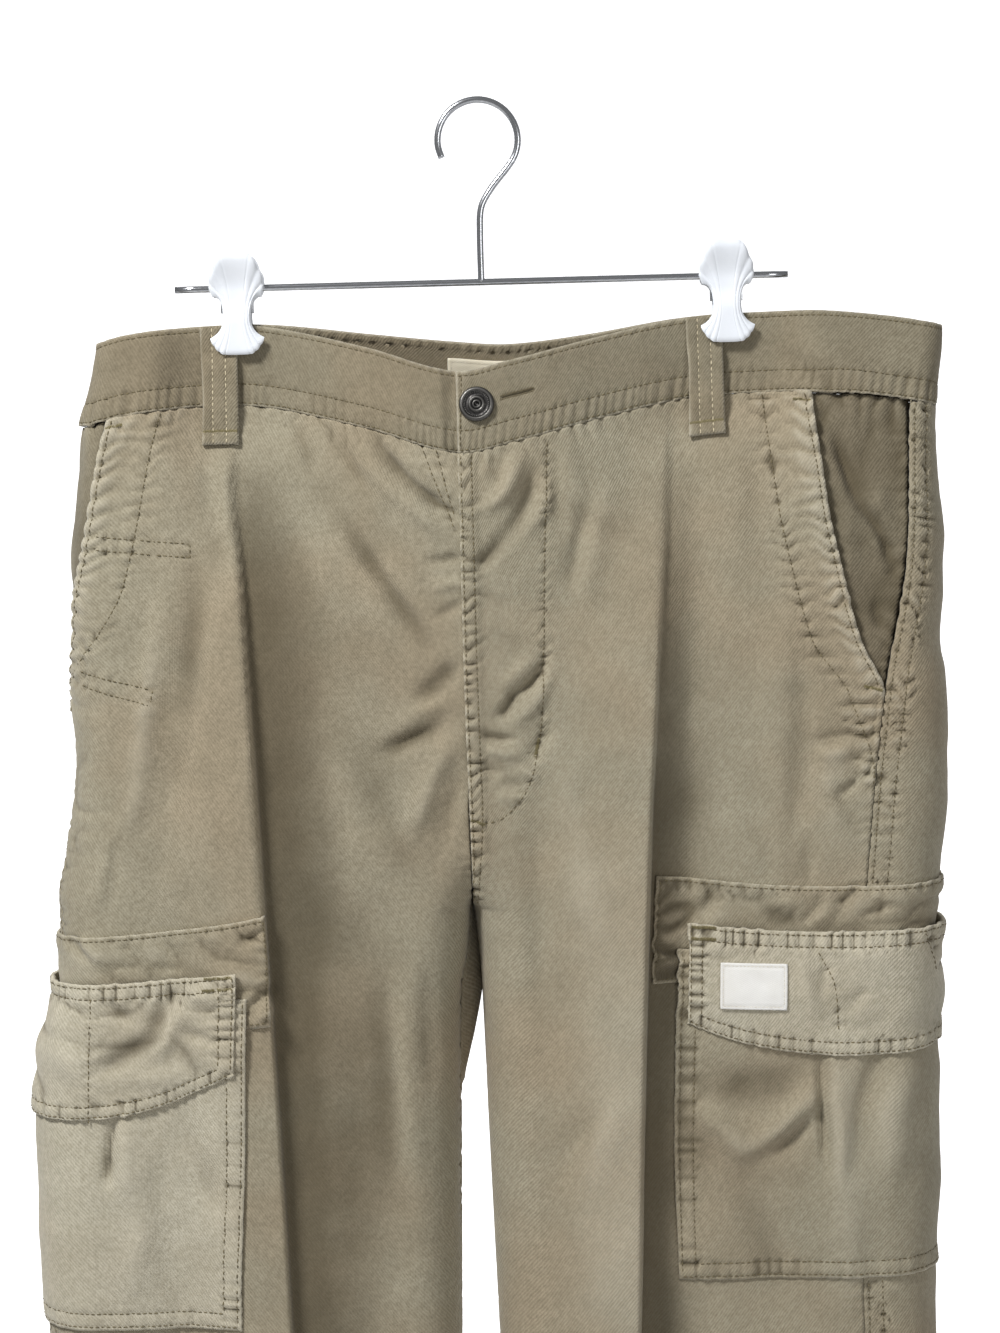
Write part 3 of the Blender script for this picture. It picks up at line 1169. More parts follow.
def loop_skin(face, x, seed):
    side = 1 if x > CROTCH_CENTRE else -1

    def skin(across, drop):
        around = around_at(side, face, x + across, drop)
        seat = mix(DOUBLE, CLOTH + 0.3, ramp(WAISTBAND + 2, LOOP_LENGTH, drop)) + LAYER
        arch = LOOP_STAND * ramp(14, 24, drop) * (1 - ramp(WAISTBAND + 3, LOOP_LENGTH - 6, drop))
        local = 0.3 * uneven(across, drop, 9, 14, seed) + puckers(drop, np.abs(across), 9, 0.16, 6, seed)
        for row in LOOP_ROWS:
            local = local + channel(across - row, 0.8)
        fold = LOOP_LENGTH - drop
        local = local + 0.5 * np.exp(-(((fold - 3) / 3.5) ** 2)) + channel(fold - 7, 0.8)
        roll, nearest = edge_roll(LOOP_WIDTH / 2 - np.abs(across), fold)
        points, outward, _ = on_cloth(side, around, drop, seat + arch + LOOP_CLOTH + local + roll)
        return points, outward, worn(nearest, local)

    return skin


def same_place(u, v):
    return u, v


for number, (node, face, x) in enumerate(LOOPS):
    us = grid_lines(-LOOP_WIDTH / 2, LOOP_WIDTH / 2, 1.3, LOOP_ROWS)
    vs = grid_lines(0.5, LOOP_LENGTH, 1.6, [LOOP_LENGTH - 7])
    skins[node] = loop_skin(face, x, 500 + 10 * number)
    cloths[node] = cloth_piece(
        *(f"{node}_cloth", node, us, vs, same_place, skins[node], LOOP_CLOTH, TWILL_BAND),
        hangs_from=["waistband_right" if x > CROTCH_CENTRE else "waistband_left"],
    )
print("belt loops", len(LOOPS), "grid", len(us), "by", len(vs))

# %% [markdown]
# ## What shows behind the fronts
#
# The pocket facing shows in each slant pocket between the front's edge and the side seam, and the
# fly shield closes the slit behind the fly. Both are single cloth, one layer lower than the fronts,
# and less worn. The back's cloth is gathered a little where it enters the waistband.


# %% Facings and shield
FACING_UNDER, FACING_FOOT, FACING_WIDE, FACING_LAYER = 14, 208, 65, 0.6
SHIELD_LEFT, SHIELD_RIGHT, SHIELD_TOP, SHIELD_FOOT = -32, 26, WAISTBAND + 4, 226


def facing_at(side):
    def at(u, v):
        mouth = panel_edge(side, -1, v) - FACING_UNDER
        return mouth + fit(u, FACING_WIDE, seam_of[side](v) - SEAM_GAP - mouth, 2, 12), v

    return at


def facing_skin(side):
    seed = 600 + 10 * side

    def skin(around, drop):
        to_seam = seam_of[side](drop) - around
        gather = puckers(around, drop - WAISTBAND, 16, 2.2, 9, seed)
        local = gather + puckers(drop, to_seam, 9, 1.2, 8, seed + 1) - 0.3 * np.exp(-((to_seam / 2) ** 2))
        local = local + 2.4 * crumple(around + 0.3 * drop, drop, 20, 36, seed + 2)
        points, outward, creased = on_cloth(side, around, drop, local - FACING_LAYER - 0.4)
        return points, outward, worn(to_seam + 3, 0.7 * local + 0.25 * creased) - 0.15

    return skin


def shield_skin(x, drop):
    around = around_at(1, -1, x, drop)
    points, outward, _ = on_cloth(1, around, drop, -LAYER - 0.5)
    return points, outward, 0 * drop - 0.2


for side in (-1, 1):
    node = f"pocket_facing_{side_name(side)}"
    us = grid_lines(0, FACING_WIDE, 1.9)
    vs = grid_lines(WAISTBAND + SEAM_GAP, FACING_FOOT, 2.0)
    at = facing_at(side)
    skins[node] = facing_skin(side)
    finish = TWILL_SHADE if side > 0 else TWILL_BAND
    cloths[node] = cloth_piece(
        *(f"{node}_cloth", node, us, vs, at, skins[node], CLOTH, finish),
        hangs_from=[f"front_{side_name(side)}"],
    )
us = grid_lines(SHIELD_LEFT, SHIELD_RIGHT, 2.5)
vs = grid_lines(SHIELD_TOP, SHIELD_FOOT, 2.5)
cloths["fly_shield"] = cloth_piece(
    *("fly_shield_cloth", "fly_shield", us, vs, same_place, shield_skin, CLOTH, TWILL_SHADE),
    hangs_from=["front_left"],
)
facing, shield = cloths["pocket_facing_left"], cloths["fly_shield"]
print("facing", len(facing.data.vertices), "points, shield", len(shield.data.vertices))

# %% [markdown]
# ## Labels
#
# A cream tape label is sewn inside the back of the waistband, and a small white one on the right
# flap. Both are left bare. A label is a close satin weave, so it gets finer threads than the twill
# and a soft gloss, and its edge is drawn in a little by its stitches.


# %% Labels
LABEL_CLOTH = 1
WAIST_LABEL = {"left": -19, "right": 54, "top": 9, "foot": 34}
FLAP_LABEL = {"left": -74.5, "right": -40, "top": 335.5, "foot": 359.5, "tilt": 1.5}


def label_finish(name, light, shade):
    n = Nodes(name)
    weave = woven(n, 0.00062, 0.4)
    cloud = n.span(n.noise(60, 3), 0.3, 0.7)
    ground = n.blend(n.math("MULTIPLY", cloud, 0.5), rgb(*light), rgb(*shade))
    ground = n.blend(n.math("MULTIPLY", n.math("SUBTRACT", 1.0, weave), 0.12), ground, rgb(150, 140, 122))
    rub = n.add("Attribute", output=2, attribute_name="rub", attribute_type="GEOMETRY")
    ground = n.blend(n.math("MULTIPLY", n.span(rub, -0.05, -0.8), 0.3), ground, rgb(150, 138, 118))
    return n.finish(ground, n.span(weave, 0, 1, 0.62, 0.5), weave, 0.00012, 0.5, Sheen_Weight=0.2)


LABEL_CREAM = label_finish("label_tape_cream", (236, 228, 206), (214, 203, 176))
LABEL_WHITE = label_finish("label_tape_white", (245, 244, 240), (231, 229, 222))


def waist_label_skin(x, drop):
    around = around_at(1, 1, x, drop)
    place = WAIST_LABEL
    to_edge = np.minimum.reduce(
        [x - place["left"], place["right"] - x, drop - place["top"], place["foot"] - drop]
    )
    local = 0.25 * uneven(x, drop, 9, 7, 71) + channel(to_edge - 1.6, 0.6)
    points, outward, _ = on_cloth(1, around, drop, -LAYER - LABEL_CLOTH - local)
    return points, -outward, local


def flap_label_skin(across, drop):
    place = FLAP_LABEL
    end = np.minimum(across - place["left"], place["right"] - across)
    level = np.minimum(drop - place["top"], place["foot"] - drop)
    tilted = drop + place["tilt"] * (across - place["left"]) / (place["right"] - place["left"])
    cargo = CARGO[1]
    lift = flap_outer(cargo, 0.7, tilted) + 2 * SEAM_GAP + LABEL_CLOTH
    to_edge = np.minimum(end, level)
    local = 0.22 * uneven(across, drop, 8, 7, 72) + channel(to_edge - 1.4, 0.6)
    local = local + puckers(across + drop, to_edge, 3.5, 0.12, 4, 73)
    around = seam_of[1](tilted) + across
    points, outward, _ = on_cloth(1, around, tilted, lift + local)
    return points, outward, local


place = WAIST_LABEL
us = grid_lines(place["left"], place["right"], 1.4)
vs = grid_lines(place["top"], place["foot"], 1.4)
skins["waist_label"] = waist_label_skin
cloths["waist_label"] = cloth_piece(
    *("waist_label_tape", "waist_label", us, vs, same_place, waist_label_skin),
    *(LABEL_CLOTH, LABEL_CREAM, "label_cloth", ["waistband_right"]),
)
place = FLAP_LABEL
us = grid_lines(place["left"], place["right"], 0.9)
vs = grid_lines(place["top"], place["foot"], 0.9)
skins["flap_label"] = flap_label_skin
cloths["flap_label"] = cloth_piece(
    *("flap_label_tape", "flap_label", us, vs, same_place, flap_label_skin),
    *(LABEL_CLOTH, LABEL_WHITE, "label_white", ["cargo_flap_right"]),
)
print("labels", [round(cloths[name].dimensions.x / MM, 1) for name in ("waist_label", "flap_label")])

# %% [markdown]
# ## Stitches
#
# Thread is what makes the seams read as sewn. One small stretched sphere of a few faces serves as
# the template, and a row of stitches is that template copied along a line on the cloth, turned with
# the line and pressed into its groove. The copies of one seam group are joined into one mesh, which
# keeps thousands of stitches light. The skins above give any point of the cloth, so that each stitch
# lies on the same surface that the cloth itself has.


# %% Rows of stitches
STITCH_PITCH, STITCH_LONG, STITCH_WIDE = 3.1, 2.4, 0.76


def stitch_shape():
    bm = bmesh.new()
    bmesh.ops.create_uvsphere(bm, u_segments=5, v_segments=3, radius=0.5)
    bmesh.ops.rotate(bm, matrix=Matrix.Rotation(math.pi / 2, 3, "Y"), verts=bm.verts)
    points = np.array([vertex.co[:] for vertex in bm.verts])
    faces = [[vertex.index for vertex in face.verts] for face in bm.faces]
    bm.free()
    return points, faces


STITCH_POINTS, STITCH_FACES = stitch_shape()


def row_on(skin, u, v):
    """A row of stitches through places of a skin, as points and outward directions."""
    u, v = np.broadcast_arrays(np.asarray(u, float), np.asarray(v, float))
    points, outward, _ = skin(u, v)
    return points, outward


def evenly(row, pitch):
    """Stitch centres along a row, with their directions."""
    points, outward = row
    run = np.concatenate([[0], np.cumsum(np.linalg.norm(np.diff(points, axis=0), axis=1))])
    at = np.arange(pitch / 2, run[-1], pitch)
    centre = np.stack([np.interp(at, run, points[:, k]) for k in range(3)], -1)
    up = np.stack([np.interp(at, run, outward[:, k]) for k in range(3)], -1)
    ahead = np.stack([np.interp(at + 0.5, run, points[:, k]) for k in range(3)], -1)
    behind = np.stack([np.interp(at - 0.5, run, points[:, k]) for k in range(3)], -1)
    along = ahead - behind
    along /= np.linalg.norm(along, axis=-1, keepdims=True)
    up -= along * np.sum(up * along, -1, keepdims=True)
    up /= np.linalg.norm(up, axis=-1, keepdims=True)
    return centre, along, up


def sew(name, finish, rows, pitch=STITCH_PITCH, long=STITCH_LONG, wide=STITCH_WIDE, turned=False, lift=0.22):
    """Joins the stitches of several rows into one piece. turned lays each stitch across its row."""
    rng = np.random.default_rng(len(name) * 7 + len(rows))
    sets = [evenly(row, pitch) for row in rows]
    centre, along, up = (np.concatenate([one[k] for one in sets]) for k in range(3))
    across = np.cross(up, along)
    if turned:
        along, across = across, along
    size = rng.uniform(0.88, 1.08, (len(centre), 1, 1))
    shape = STITCH_POINTS[None] * np.array([long, wide, 0.7 * wide]) * size
    sway = rng.uniform(-0.05, 0.05, (len(centre), 1, 1)) * shape[..., :1]
    points = centre[:, None] + lift * up[:, None] + shape[..., :1] * along[:, None]
    points = points + (shape[..., 1:2] + sway) * across[:, None] + shape[..., 2:] * up[:, None]
    count = len(STITCH_POINTS)
    faces = [[k * count + i for i in face] for k in range(len(centre)) for face in STITCH_FACES]
    mesh = bpy.data.meshes.new(name)
    mesh.from_pydata((points.reshape(-1, 3) * MM).tolist(), [], faces)
    return put_on(new_object(name, mesh, finish), None)


def thread(name, light, dark):
    n = Nodes(name)
    twist = n.noise(1400, 2, stretch=(1, 1, 2.2))
    ground = n.blend(n.span(twist, 0.3, 0.7), rgb(*dark), rgb(*light))
    faded = n.span(n.noise(40, 2), 0.35, 0.65)
    ground = n.blend(n.math("MULTIPLY", faded, 0.35), ground, rgb(*light))
    return n.finish(ground, 0.7, twist, 0.00015, 0.6, Sheen_Weight=0.1)


THREAD = thread("khaki_thread", (122, 110, 78), (74, 64, 40))
THREAD_OLIVE = thread("olive_thread", (140, 129, 88), (98, 88, 54))
THREAD_PALE = thread("pale_thread", (226, 214, 184), (184, 170, 138))
THREAD_CREAM = thread("cream_thread", (236, 230, 214), (206, 198, 178))


def panel_row(side, face, away, start, end):
    """A row at a distance from a panel's inner seam (positive) or outer edge (negative)."""
    drop = np.arange(start, end, 1.5)
    inner = half_at(side, face, drop).full - SEAM_GAP / 2
    distance = np.broadcast_to(away(drop) if callable(away) else away, drop.shape)
    width = inner - face * panel_edge(side, face, drop)
    from_inner = np.where(distance < 0, width + distance, distance)
    node = f"{'front' if face < 0 else 'back'}_{side_name(side)}"
    return row_on(skins[node], face * (inner - from_inner), drop)


def path_row(side, face, path):
    node = f"{'front' if face < 0 else 'back'}_{side_name(side)}"
    return row_on(skins[node], *place_of(side, face, path[:, 0], path[:, 1]))


def band_edge(side):
    return lambda drop: -np.maximum(0.6, MOUTH_BAND * (1 - ramp(*MOUTH_BAND_END[side], drop)))


rows = {-1: [], 1: []}
for side in (-1, 1):
    rows[side].append(panel_row(side, -1, -MOUTH_ROW, WAISTBAND + 1, 194))
    rows[side].append(panel_row(side, -1, band_edge(side), WAISTBAND + 1, MOUTH_BAND_END[side][1]))
    rows[side] += [path_row(side, -1, path) for path in LINES_ON[side, -1]]
fly_rows = [FLY_ROWS[0], lambda drop: mix(FLY_ROWS[1], 6.5, ramp(240, 290, drop))]
rows[1] += [panel_row(1, -1, away, WAISTBAND + 1, 304) for away in fly_rows]
for side in (-1, 1):
    for face in (-1, 1):
        node = f"{'front' if face < 0 else 'back'}_{side_name(side)}"
        inner = half_at(side, face, HEM - HEM_ROW).full - 1
        edge = panel_edge(side, face, HEM - HEM_ROW)
        hem = row_on(skins[node], face * np.arange(face * edge, inner, 1.5), HEM - HEM_ROW)
        rows[side].append(hem)
    rows[side] += [panel_row(side, 1, -away, WAISTBAND + 1, HEM - 1) for away in SIDE_ROWS]
    rows[side] += [panel_row(side, 1, away, WAISTBAND + 1, 304) for away in SEAT_ROWS]
    sewn = sew(f"leg_stitches_{side_name(side)}", THREAD, rows[side])
    print(sewn.name, "triangles", 2 * len(sewn.data.polygons))

rows = []
for side in (-1, 1):
    node = f"waistband_{side_name(side)}"
    for drop in BAND_ROWS:
        front = half_at(side, -1, drop).full - 1 + (TONGUE if side < 0 else 0)
        back = half_at(side, 1, drop).full - 1
        rows.append(row_on(skins[node], np.arange(-front, back, 1.5), drop))
end = half_at(1, -1, 20.0).full - 3
rows.append(row_on(skins["waistband_right"], -end, np.arange(3, 41, 1.5)))
sewn = sew("waistband_stitches", THREAD, rows)
print(sewn.name, "triangles", 2 * len(sewn.data.polygons))

rows = []
for node, face, x in LOOPS:
    rows += [row_on(skins[node], across, np.arange(0.8, 63.5, 1.5)) for across in LOOP_ROWS]
sew("loop_stitches", THREAD_PALE, rows, pitch=3.3, wide=0.68)
rows = [row_on(skins[node], np.arange(-9.2, 9.3, 1.0), LOOP_LENGTH - 7.0) for node, face, x in LOOPS]
sew("loop_bartacks", THREAD_OLIVE, rows, pitch=0.62, long=2.2, wide=0.6, turned=True, lift=0.2)


def round_piece(node, half, top, foot, away, sides="ends top foot"):
    """Rows that follow a cargo piece's edges at a distance."""
    side = -1 if node.endswith("left") else 1
    cargo, skin, made = CARGO[side], skins[node], []
    across = np.arange(-half + away, half - away + 0.1, 1.5)
    share = np.abs(across) / half
    if "top" in sides:
        made.append(row_on(skin, across, top(cargo, share) + away))
    if "foot" in sides:
        made.append(row_on(skin, across, foot(cargo, share) - away))
    if "ends" in sides:
        end = half - away
        share = end / half
        drops = np.arange(top(cargo, share) + away, foot(cargo, share) - away, 1.5)
        made += [row_on(skin, sign * end, drops) for sign in (-1, 1)]
    return made


for side in (-1, 1):
    name = side_name(side)
    rows = round_piece(f"cargo_patch_{name}", PATCH_HALF, patch_top, patch_foot, 2.2)
    for away in POCKET_SEAM_ROWS:
        rows += round_piece(f"cargo_pocket_{name}", POCKET_HALF, pocket_top, pocket_foot, away, "ends foot")
    for away in FLAP_EDGE_ROWS:
        rows += round_piece(f"cargo_flap_{name}", FLAP_HALF, flap_top, flap_foot, away, "ends foot")
    for away in FLAP_TOP_ROWS:
        rows += round_piece(f"cargo_flap_{name}", FLAP_HALF, flap_top, flap_foot, away, "top")
    for path in FLAP_SEAMS[side]:
        around, drop = place_of(side, -1, path[:, 0], path[:, 1])
        rows.append(row_on(skins[f"cargo_flap_{name}"], around - seam_of[side](drop), drop))
    sewn = sew(f"cargo_stitches_{name}", THREAD, rows)
    print(sewn.name, "triangles", 2 * len(sewn.data.polygons))


def box_row(skin, left, right, top, foot, inside):
    """A row round a label, inside its edge."""
    left, right, top, foot = left + inside, right - inside, top + inside, foot - inside
    us = [np.arange(left, right, 0.8), right, np.arange(right, left, -0.8), left]
    vs = [top, np.arange(top, foot, 0.8), foot, np.arange(foot, top, -0.8)]
    return [row_on(skin, u, v) for u, v in zip(us, vs)]


rows = box_row(waist_label_skin, *WAIST_LABEL.values(), 1.6)
sew("waist_label_stitches", THREAD_CREAM, rows, pitch=2.2, long=1.7, wide=0.4)
rows = box_row(flap_label_skin, *list(FLAP_LABEL.values())[:4], 1.4)
sew("flap_label_stitches", THREAD_CREAM, rows, pitch=2.0, long=1.6, wide=0.36)

# %% [markdown]
# ## Button and buttonhole
#
# The tack button is stamped metal: a domed rim, a sunk ring with fine beads, and a rivet in the
# middle. A half profile spun round an axis gives such a form exactly, so only the profile is drawn.
# The button leans with the waistband that it sits on. The buttonhole beside it is a slit, whipped
# round with close thread.


# %% The tack button
BUTTON_X, BUTTON_RADIUS = -3.8, 9.2
BEADS, BEAD_RADIUS = 40, 6.1


def spun(bm, profile, steps):
    """Spins a half profile of (radius, height) pairs round Z and closes its seam."""
    points = [bm.verts.new((radius, 0, height)) for radius, height in profile]
    edges = [bm.edges.new(pair) for pair in zip(points[:-1], points[1:])]
    about = {"cent": (0, 0, 0), "axis": (0, 0, 1), "angle": 2 * math.pi}
    bmesh.ops.spin(bm, geom=points + edges, steps=steps, use_merge=True, **about)
    bmesh.ops.remove_doubles(bm, verts=bm.verts, dist=0.001)
    bmesh.ops.recalc_face_normals(bm, faces=bm.faces)


def gunmetal():
    n = Nodes("gunmetal_antique")
    worn_patches = n.span(n.noise(900, 3), 0.35, 0.7)
    raised = n.span(n.add("NewGeometry", output="Pointiness"), 0.47, 0.56)
    ground = n.blend(worn_patches, rgb(46, 45, 45), rgb(82, 80, 78))
    ground = n.blend(n.math("MULTIPLY", raised, 0.35), ground, rgb(140, 138, 133))
    rough = n.span(worn_patches, 0, 1, 0.5, 0.36)
    return n.finish(ground, rough, n.noise(2600, 2), 0.00005, 0.5, Metallic=1.0)


bm = bmesh.new()
r = BUTTON_RADIUS
profile = [
    *((0, 0), (r - 1.2, 0), (r - 0.35, 0.35), (r, 1.2), (r - 0.25, 1.9), (r - 0.9, 2.45), (r - 1.7, 2.55)),
    *((r - 2.3, 2.2), (r - 2.5, 1.75), (4.6, 1.6), (4.3, 1.9), (3.9, 2.25), (3.3, 2.3), (2.9, 2.0)),
    *((2.75, 1.5), (2.45, 1.45), (2.25, 1.9), (1.85, 2.2), (1.45, 2.1), (1.25, 1.5), (1.1, 0.9), (0, 0.8)),
]
spun(bm, profile, 56)
for k in range(BEADS):
    turn = Matrix.Rotation(2 * math.pi * k / BEADS, 4, "Z")
    place = turn @ Matrix.Translation((BEAD_RADIUS + 0.25, 0, 1.68)) @ Matrix.Diagonal((1.15, 0.6, 0.5, 1))
    bmesh.ops.create_uvsphere(bm, u_segments=8, v_segments=5, radius=0.5, matrix=place)
around = around_at(1, -1, BUTTON_X, BUTTON_DROP)
seat = on_cloth(1, np.array([around]), np.array([BUTTON_DROP]), DOUBLE + SEAM_GAP)
lean = Vector(seat[1][0]).to_track_quat("Z", "Y").to_matrix().to_4x4()
place = Matrix.Scale(MM, 4) @ Matrix.Translation(Vector(seat[0][0])) @ lean
bmesh.ops.transform(bm, matrix=place, verts=bm.verts)
mesh = mesh_of(bm, "tack_button")
button = put_on(new_object("tack_button", mesh, gunmetal()), "button")
print("button", len(mesh.polygons), "faces,", round(button.dimensions.x / MM, 1), "mm wide")

# %% [markdown]
# The buttonhole's thread lies across the slit's two lips and fans round its end, and a short bar
# closes it. Its rows follow a long narrow loop, with each stitch turned across the row.

# %% The buttonhole
HOLE = {"start": 8, "end": 24.5, "drop": BUTTON_DROP, "half": 0.9}


def band_places(x, drop):
    return around_at(1, -1, x, drop), drop


across = np.linspace(HOLE["start"], HOLE["end"], 40)
turn = np.linspace(-math.pi / 2, math.pi / 2, 12)
rows = []
for sign in (-1, 1):
    rows.append(row_on(skins["waistband_right"], *band_places(across, HOLE["drop"] + sign * HOLE["half"])))
round_x = HOLE["end"] + HOLE["half"] * np.cos(turn)
round_drop = HOLE["drop"] + HOLE["half"] * np.sin(turn)
rows.append(row_on(skins["waistband_right"], *band_places(round_x, round_drop)))
sew("buttonhole_whipping", THREAD, rows, pitch=0.5, long=1.25, wide=0.42, turned=True, lift=0.12)

# %% [markdown]
# ## Bartacks
#
# A bartack is a row of close stitches across the end of a seam, where it would otherwise tear: at
# the flaps' top corners, at the pocket mouths' ends, and at the fly.

# %% Bartacks


def bar(skin, u0, v0, u1, v1):
    share = np.linspace(0, 1, 12)
    return row_on(skin, mix(u0, u1, share), mix(v0, v1, share))


def bar_xz(side, x0, z0, x1, z1):
    skin = skins[f"front_{side_name(side)}"]
    ends = [place_of(side, -1, x, z) for x, z in ((x0, z0), (x1, z1))]
    return bar(skin, float(ends[0][0]), float(ends[0][1]), float(ends[1][0]), float(ends[1][1]))


rows = []
for side in (-1, 1):
    cargo, skin = CARGO[side], skins[f"cargo_flap_{side_name(side)}"]
    for sign in (-1, 1):
        for away in FLAP_TOP_ROWS:
            top = cargo["flap_top"] + away
            rows.append(bar(skin, sign * (FLAP_HALF - 1.5), top, sign * (FLAP_HALF - 14), top + 0.5))
    seam = float(seam_of[side](192.0))
    front = skins[f"front_{side_name(side)}"]
    rows.append(bar(front, seam - 2.0, 196, seam - 11, 194))
    mouth = float(panel_edge(side, -1, 50.0))
    rows.append(bar(front, mouth - 1, 47, mouth - 9, 47))
rows.append(bar_xz(1, 23.5, -331, 21.5, -341))
rows.append(bar_xz(1, -12.5, -372, -5.5, -375))
sewn = sew("bartacks", THREAD_OLIVE, rows, pitch=0.62, long=2.2, wide=0.55, turned=True, lift=0.25)
print(sewn.name, "triangles", 2 * len(sewn.data.polygons))

# %% [markdown]
# ## Clips
#
# Each clip is two moulded jaws in the shape of a shell: a fan of ribs at the finger end, a narrow
# waist over the bar, and a flared lip that grips the cloth. A grid again suits it, with one line of
# points down each rib. A rib's line runs from the fan's edge through the waist to the lip as two
# smooth arcs, so the flutes gather at the waist as the moulded ones do. The edge has a small scallop
# at each rib. The plastic is white and half gloss, so its form is read from its grooves.


# %% Clip jaws
JAW_TOP, JAW_THICK, BAR_Z, BAR_RADIUS = -75, 2.6, -93, 1.9
RIB_GROOVES = (0.4, 0.62, 0.82)
FAN_EDGE = table(
    "u x down",
    *((0, 0, 0), (0.4, 7.6, 0.6), (0.62, 12.0, 8.6), (0.82, 14.1, 15.6), (1, 12.6, 22.5)),
)
LIP_EDGE = table(
    "u x down",
    *((0, 0, 53), (0.4, 6.4, 52.7), (0.62, 9.6, 51), (0.82, 12.2, 48), (1, 14.2, 44)),
)
FAN_X, FAN_DOWN = (line_through(FAN_EDGE, "u", key) for key in ("x", "down"))
LIP_X, LIP_DOWN = (line_through(LIP_EDGE, "u", key) for key in ("x", "down"))
JAW_WAIST, WAIST_DOWN, FAN_PULL, LIP_PULL = 7.3, 33.5, 22, 41
TO_WAIST, TO_LIP = 0.56, 0.44  # shares of the grid above and below the jaw's waist
LOOP_UNDER_JAW = DOUBLE + LAYER + LOOP_CLOTH


def rib_height(u):
    """Profile across the ribs: a hollow channel in the middle, then three round flutes."""
    a = np.abs(u)
    bounds = np.array([*RIB_GROOVES, 1.0])
    start = np.where(a < bounds[0], -bounds[0], 0)
    for low, high in zip(bounds[:-1], bounds[1:]):
        start = np.where(a >= low, low, start)
    end = bounds[np.clip(np.searchsorted(bounds, a, "right"), 1, 3)]
    wide = np.where(a < bounds[0], 2 * bounds[0], end - start)
    share = np.clip((a - start) / wide, 0, 1)
    flute = 0.62 * np.abs(np.sin(np.pi * share)) ** 0.6
    hollow = 0.35 - 0.55 * np.cos(np.pi / 2 * np.clip(a / bounds[0], 0, 1)) ** 0.7
    return np.where(a < bounds[0], hollow + 0.27 * (a > 0.385), flute)


def jaw(name, node, clip_x, face):
    us, vs = stretches(-1, 0.026, 1), stretches(0, 0.027, 1)
    lip = NIP + (LOOP_UNDER_JAW if face < 0 else DOUBLE) + 0.4
    waist = BAR_RADIUS + 1.4

    def skin(u, v):
        a, sign = np.abs(u), np.sign(u)
        scallop = 0.55 * np.abs(np.sin(np.pi * np.clip((a - RIB_GROOVES[0]) / 0.2, 0, 3)))
        waist_x = JAW_WAIST * a
        t = np.clip(v / TO_WAIST, 0, 1)
        s = np.clip((v - TO_WAIST) / TO_LIP, 0, 1)
        out = 1 + scallop * (1 - t) ** 3 / 14
        fan_x = (1 - t) ** 2 * FAN_X(a) * out + 2 * t * (1 - t) * waist_x + t**2 * waist_x
        fan_down = (1 - t) ** 2 * FAN_DOWN(a) + 2 * t * (1 - t) * FAN_PULL + t**2 * WAIST_DOWN
        out = 1 + scallop * s**3 / 22
        lip_x = (1 - s) ** 2 * waist_x + 2 * s * (1 - s) * waist_x + s**2 * LIP_X(a) * out
        lip_reach = LIP_DOWN(a) * (1 + scallop * s**3 / 90)
        lip_down = (1 - s) ** 2 * WAIST_DOWN + 2 * s * (1 - s) * LIP_PULL + s**2 * lip_reach
        upper = v < TO_WAIST
        x = np.where(upper, fan_x, lip_x)
        down = np.where(upper, fan_down, lip_down)
        seat = mix(waist, max(waist, lip), ramp(24, 36, down))
        flare = 5 * (1 - ramp(0, 20, down))
        ribs = rib_height(u) * (0.35 + 0.65 * np.abs(v - TO_WAIST) / 0.5)
        edge = np.minimum.reduce([v * 50, (1 - v) * 50, (1 - a) * 9])
        crown = JAW_THICK - 1.1 * u**2 + ribs - 0.9 * np.exp(-((edge / 0.8) ** 2))
        points = np.stack([clip_x + sign * x, face * (seat + flare + crown), JAW_TOP - down], -1)
        return points, np.stack([0 * u, face + 0 * u, 0 * u], -1), 0 * u

    piece = cloth_piece(name, node, us, vs, same_place, skin, 1.7, CLIP_PLASTIC, "clip_plastic")
    bevel = piece.modifiers.new("soft_edge", "BEVEL")
    bevel.width = 0.35 * MM
    bevel.segments = 2
    bevel.limit_method = "ANGLE"
    bevel.angle_limit = math.radians(50)
    return piece


def moulded_plastic():
    n = Nodes("clip_plastic_white")
    tint = n.span(n.noise(70, 3), 0.3, 0.7)
    ground = n.blend(n.math("MULTIPLY", tint, 0.35), rgb(240, 244, 250), rgb(226, 232, 240))
    skin = n.noise(1500, 2)
    constants = {"Subsurface_Weight": 0.0, "Coat_Weight": 0.25, "Coat_Roughness": 0.25}
    return n.finish(ground, n.span(skin, 0.3, 0.7, 0.3, 0.4), skin, 0.00003, 0.5, **constants)


CLIP_PLASTIC = moulded_plastic()
for side in (-1, 1):
    for face, part in ((-1, "front"), (1, "back")):
        node = f"clip_{part}_{side_name(side)}"
        piece = jaw(f"{node}_jaw", node, side * CLIP_X, face)
print("jaw", len(piece.data.polygons), "faces")

# %% [markdown]
# ## Wire and springs
#
# The hanger is one bright wire: a hook over the rail, a neck, and the bar that the clips slide on.
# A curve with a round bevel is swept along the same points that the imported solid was, and made a
# mesh. The clip's spring is a strip of spring steel bent over the bar, between the two jaws.


# %% The hanger's wire
HOOK_RADIUS, BAR_LENGTH = 21, 322


def chrome(name, rough):
    n = Nodes(name)
    streaks = n.noise(420, 3, stretch=(1, 1, 6))
    ground = n.blend(n.span(streaks, 0.35, 0.7), rgb(216, 218, 222), rgb(186, 189, 194))
    rub = n.span(streaks, 0.3, 0.7, rough, rough + 0.12)
    return n.finish(ground, rub, n.noise(1800, 2), 0.00002, 0.4, Metallic=1.0)


CHROME_WIRE = chrome("chrome_wire", 0.14)
SPRING_STEEL = chrome("spring_steel", 0.24)


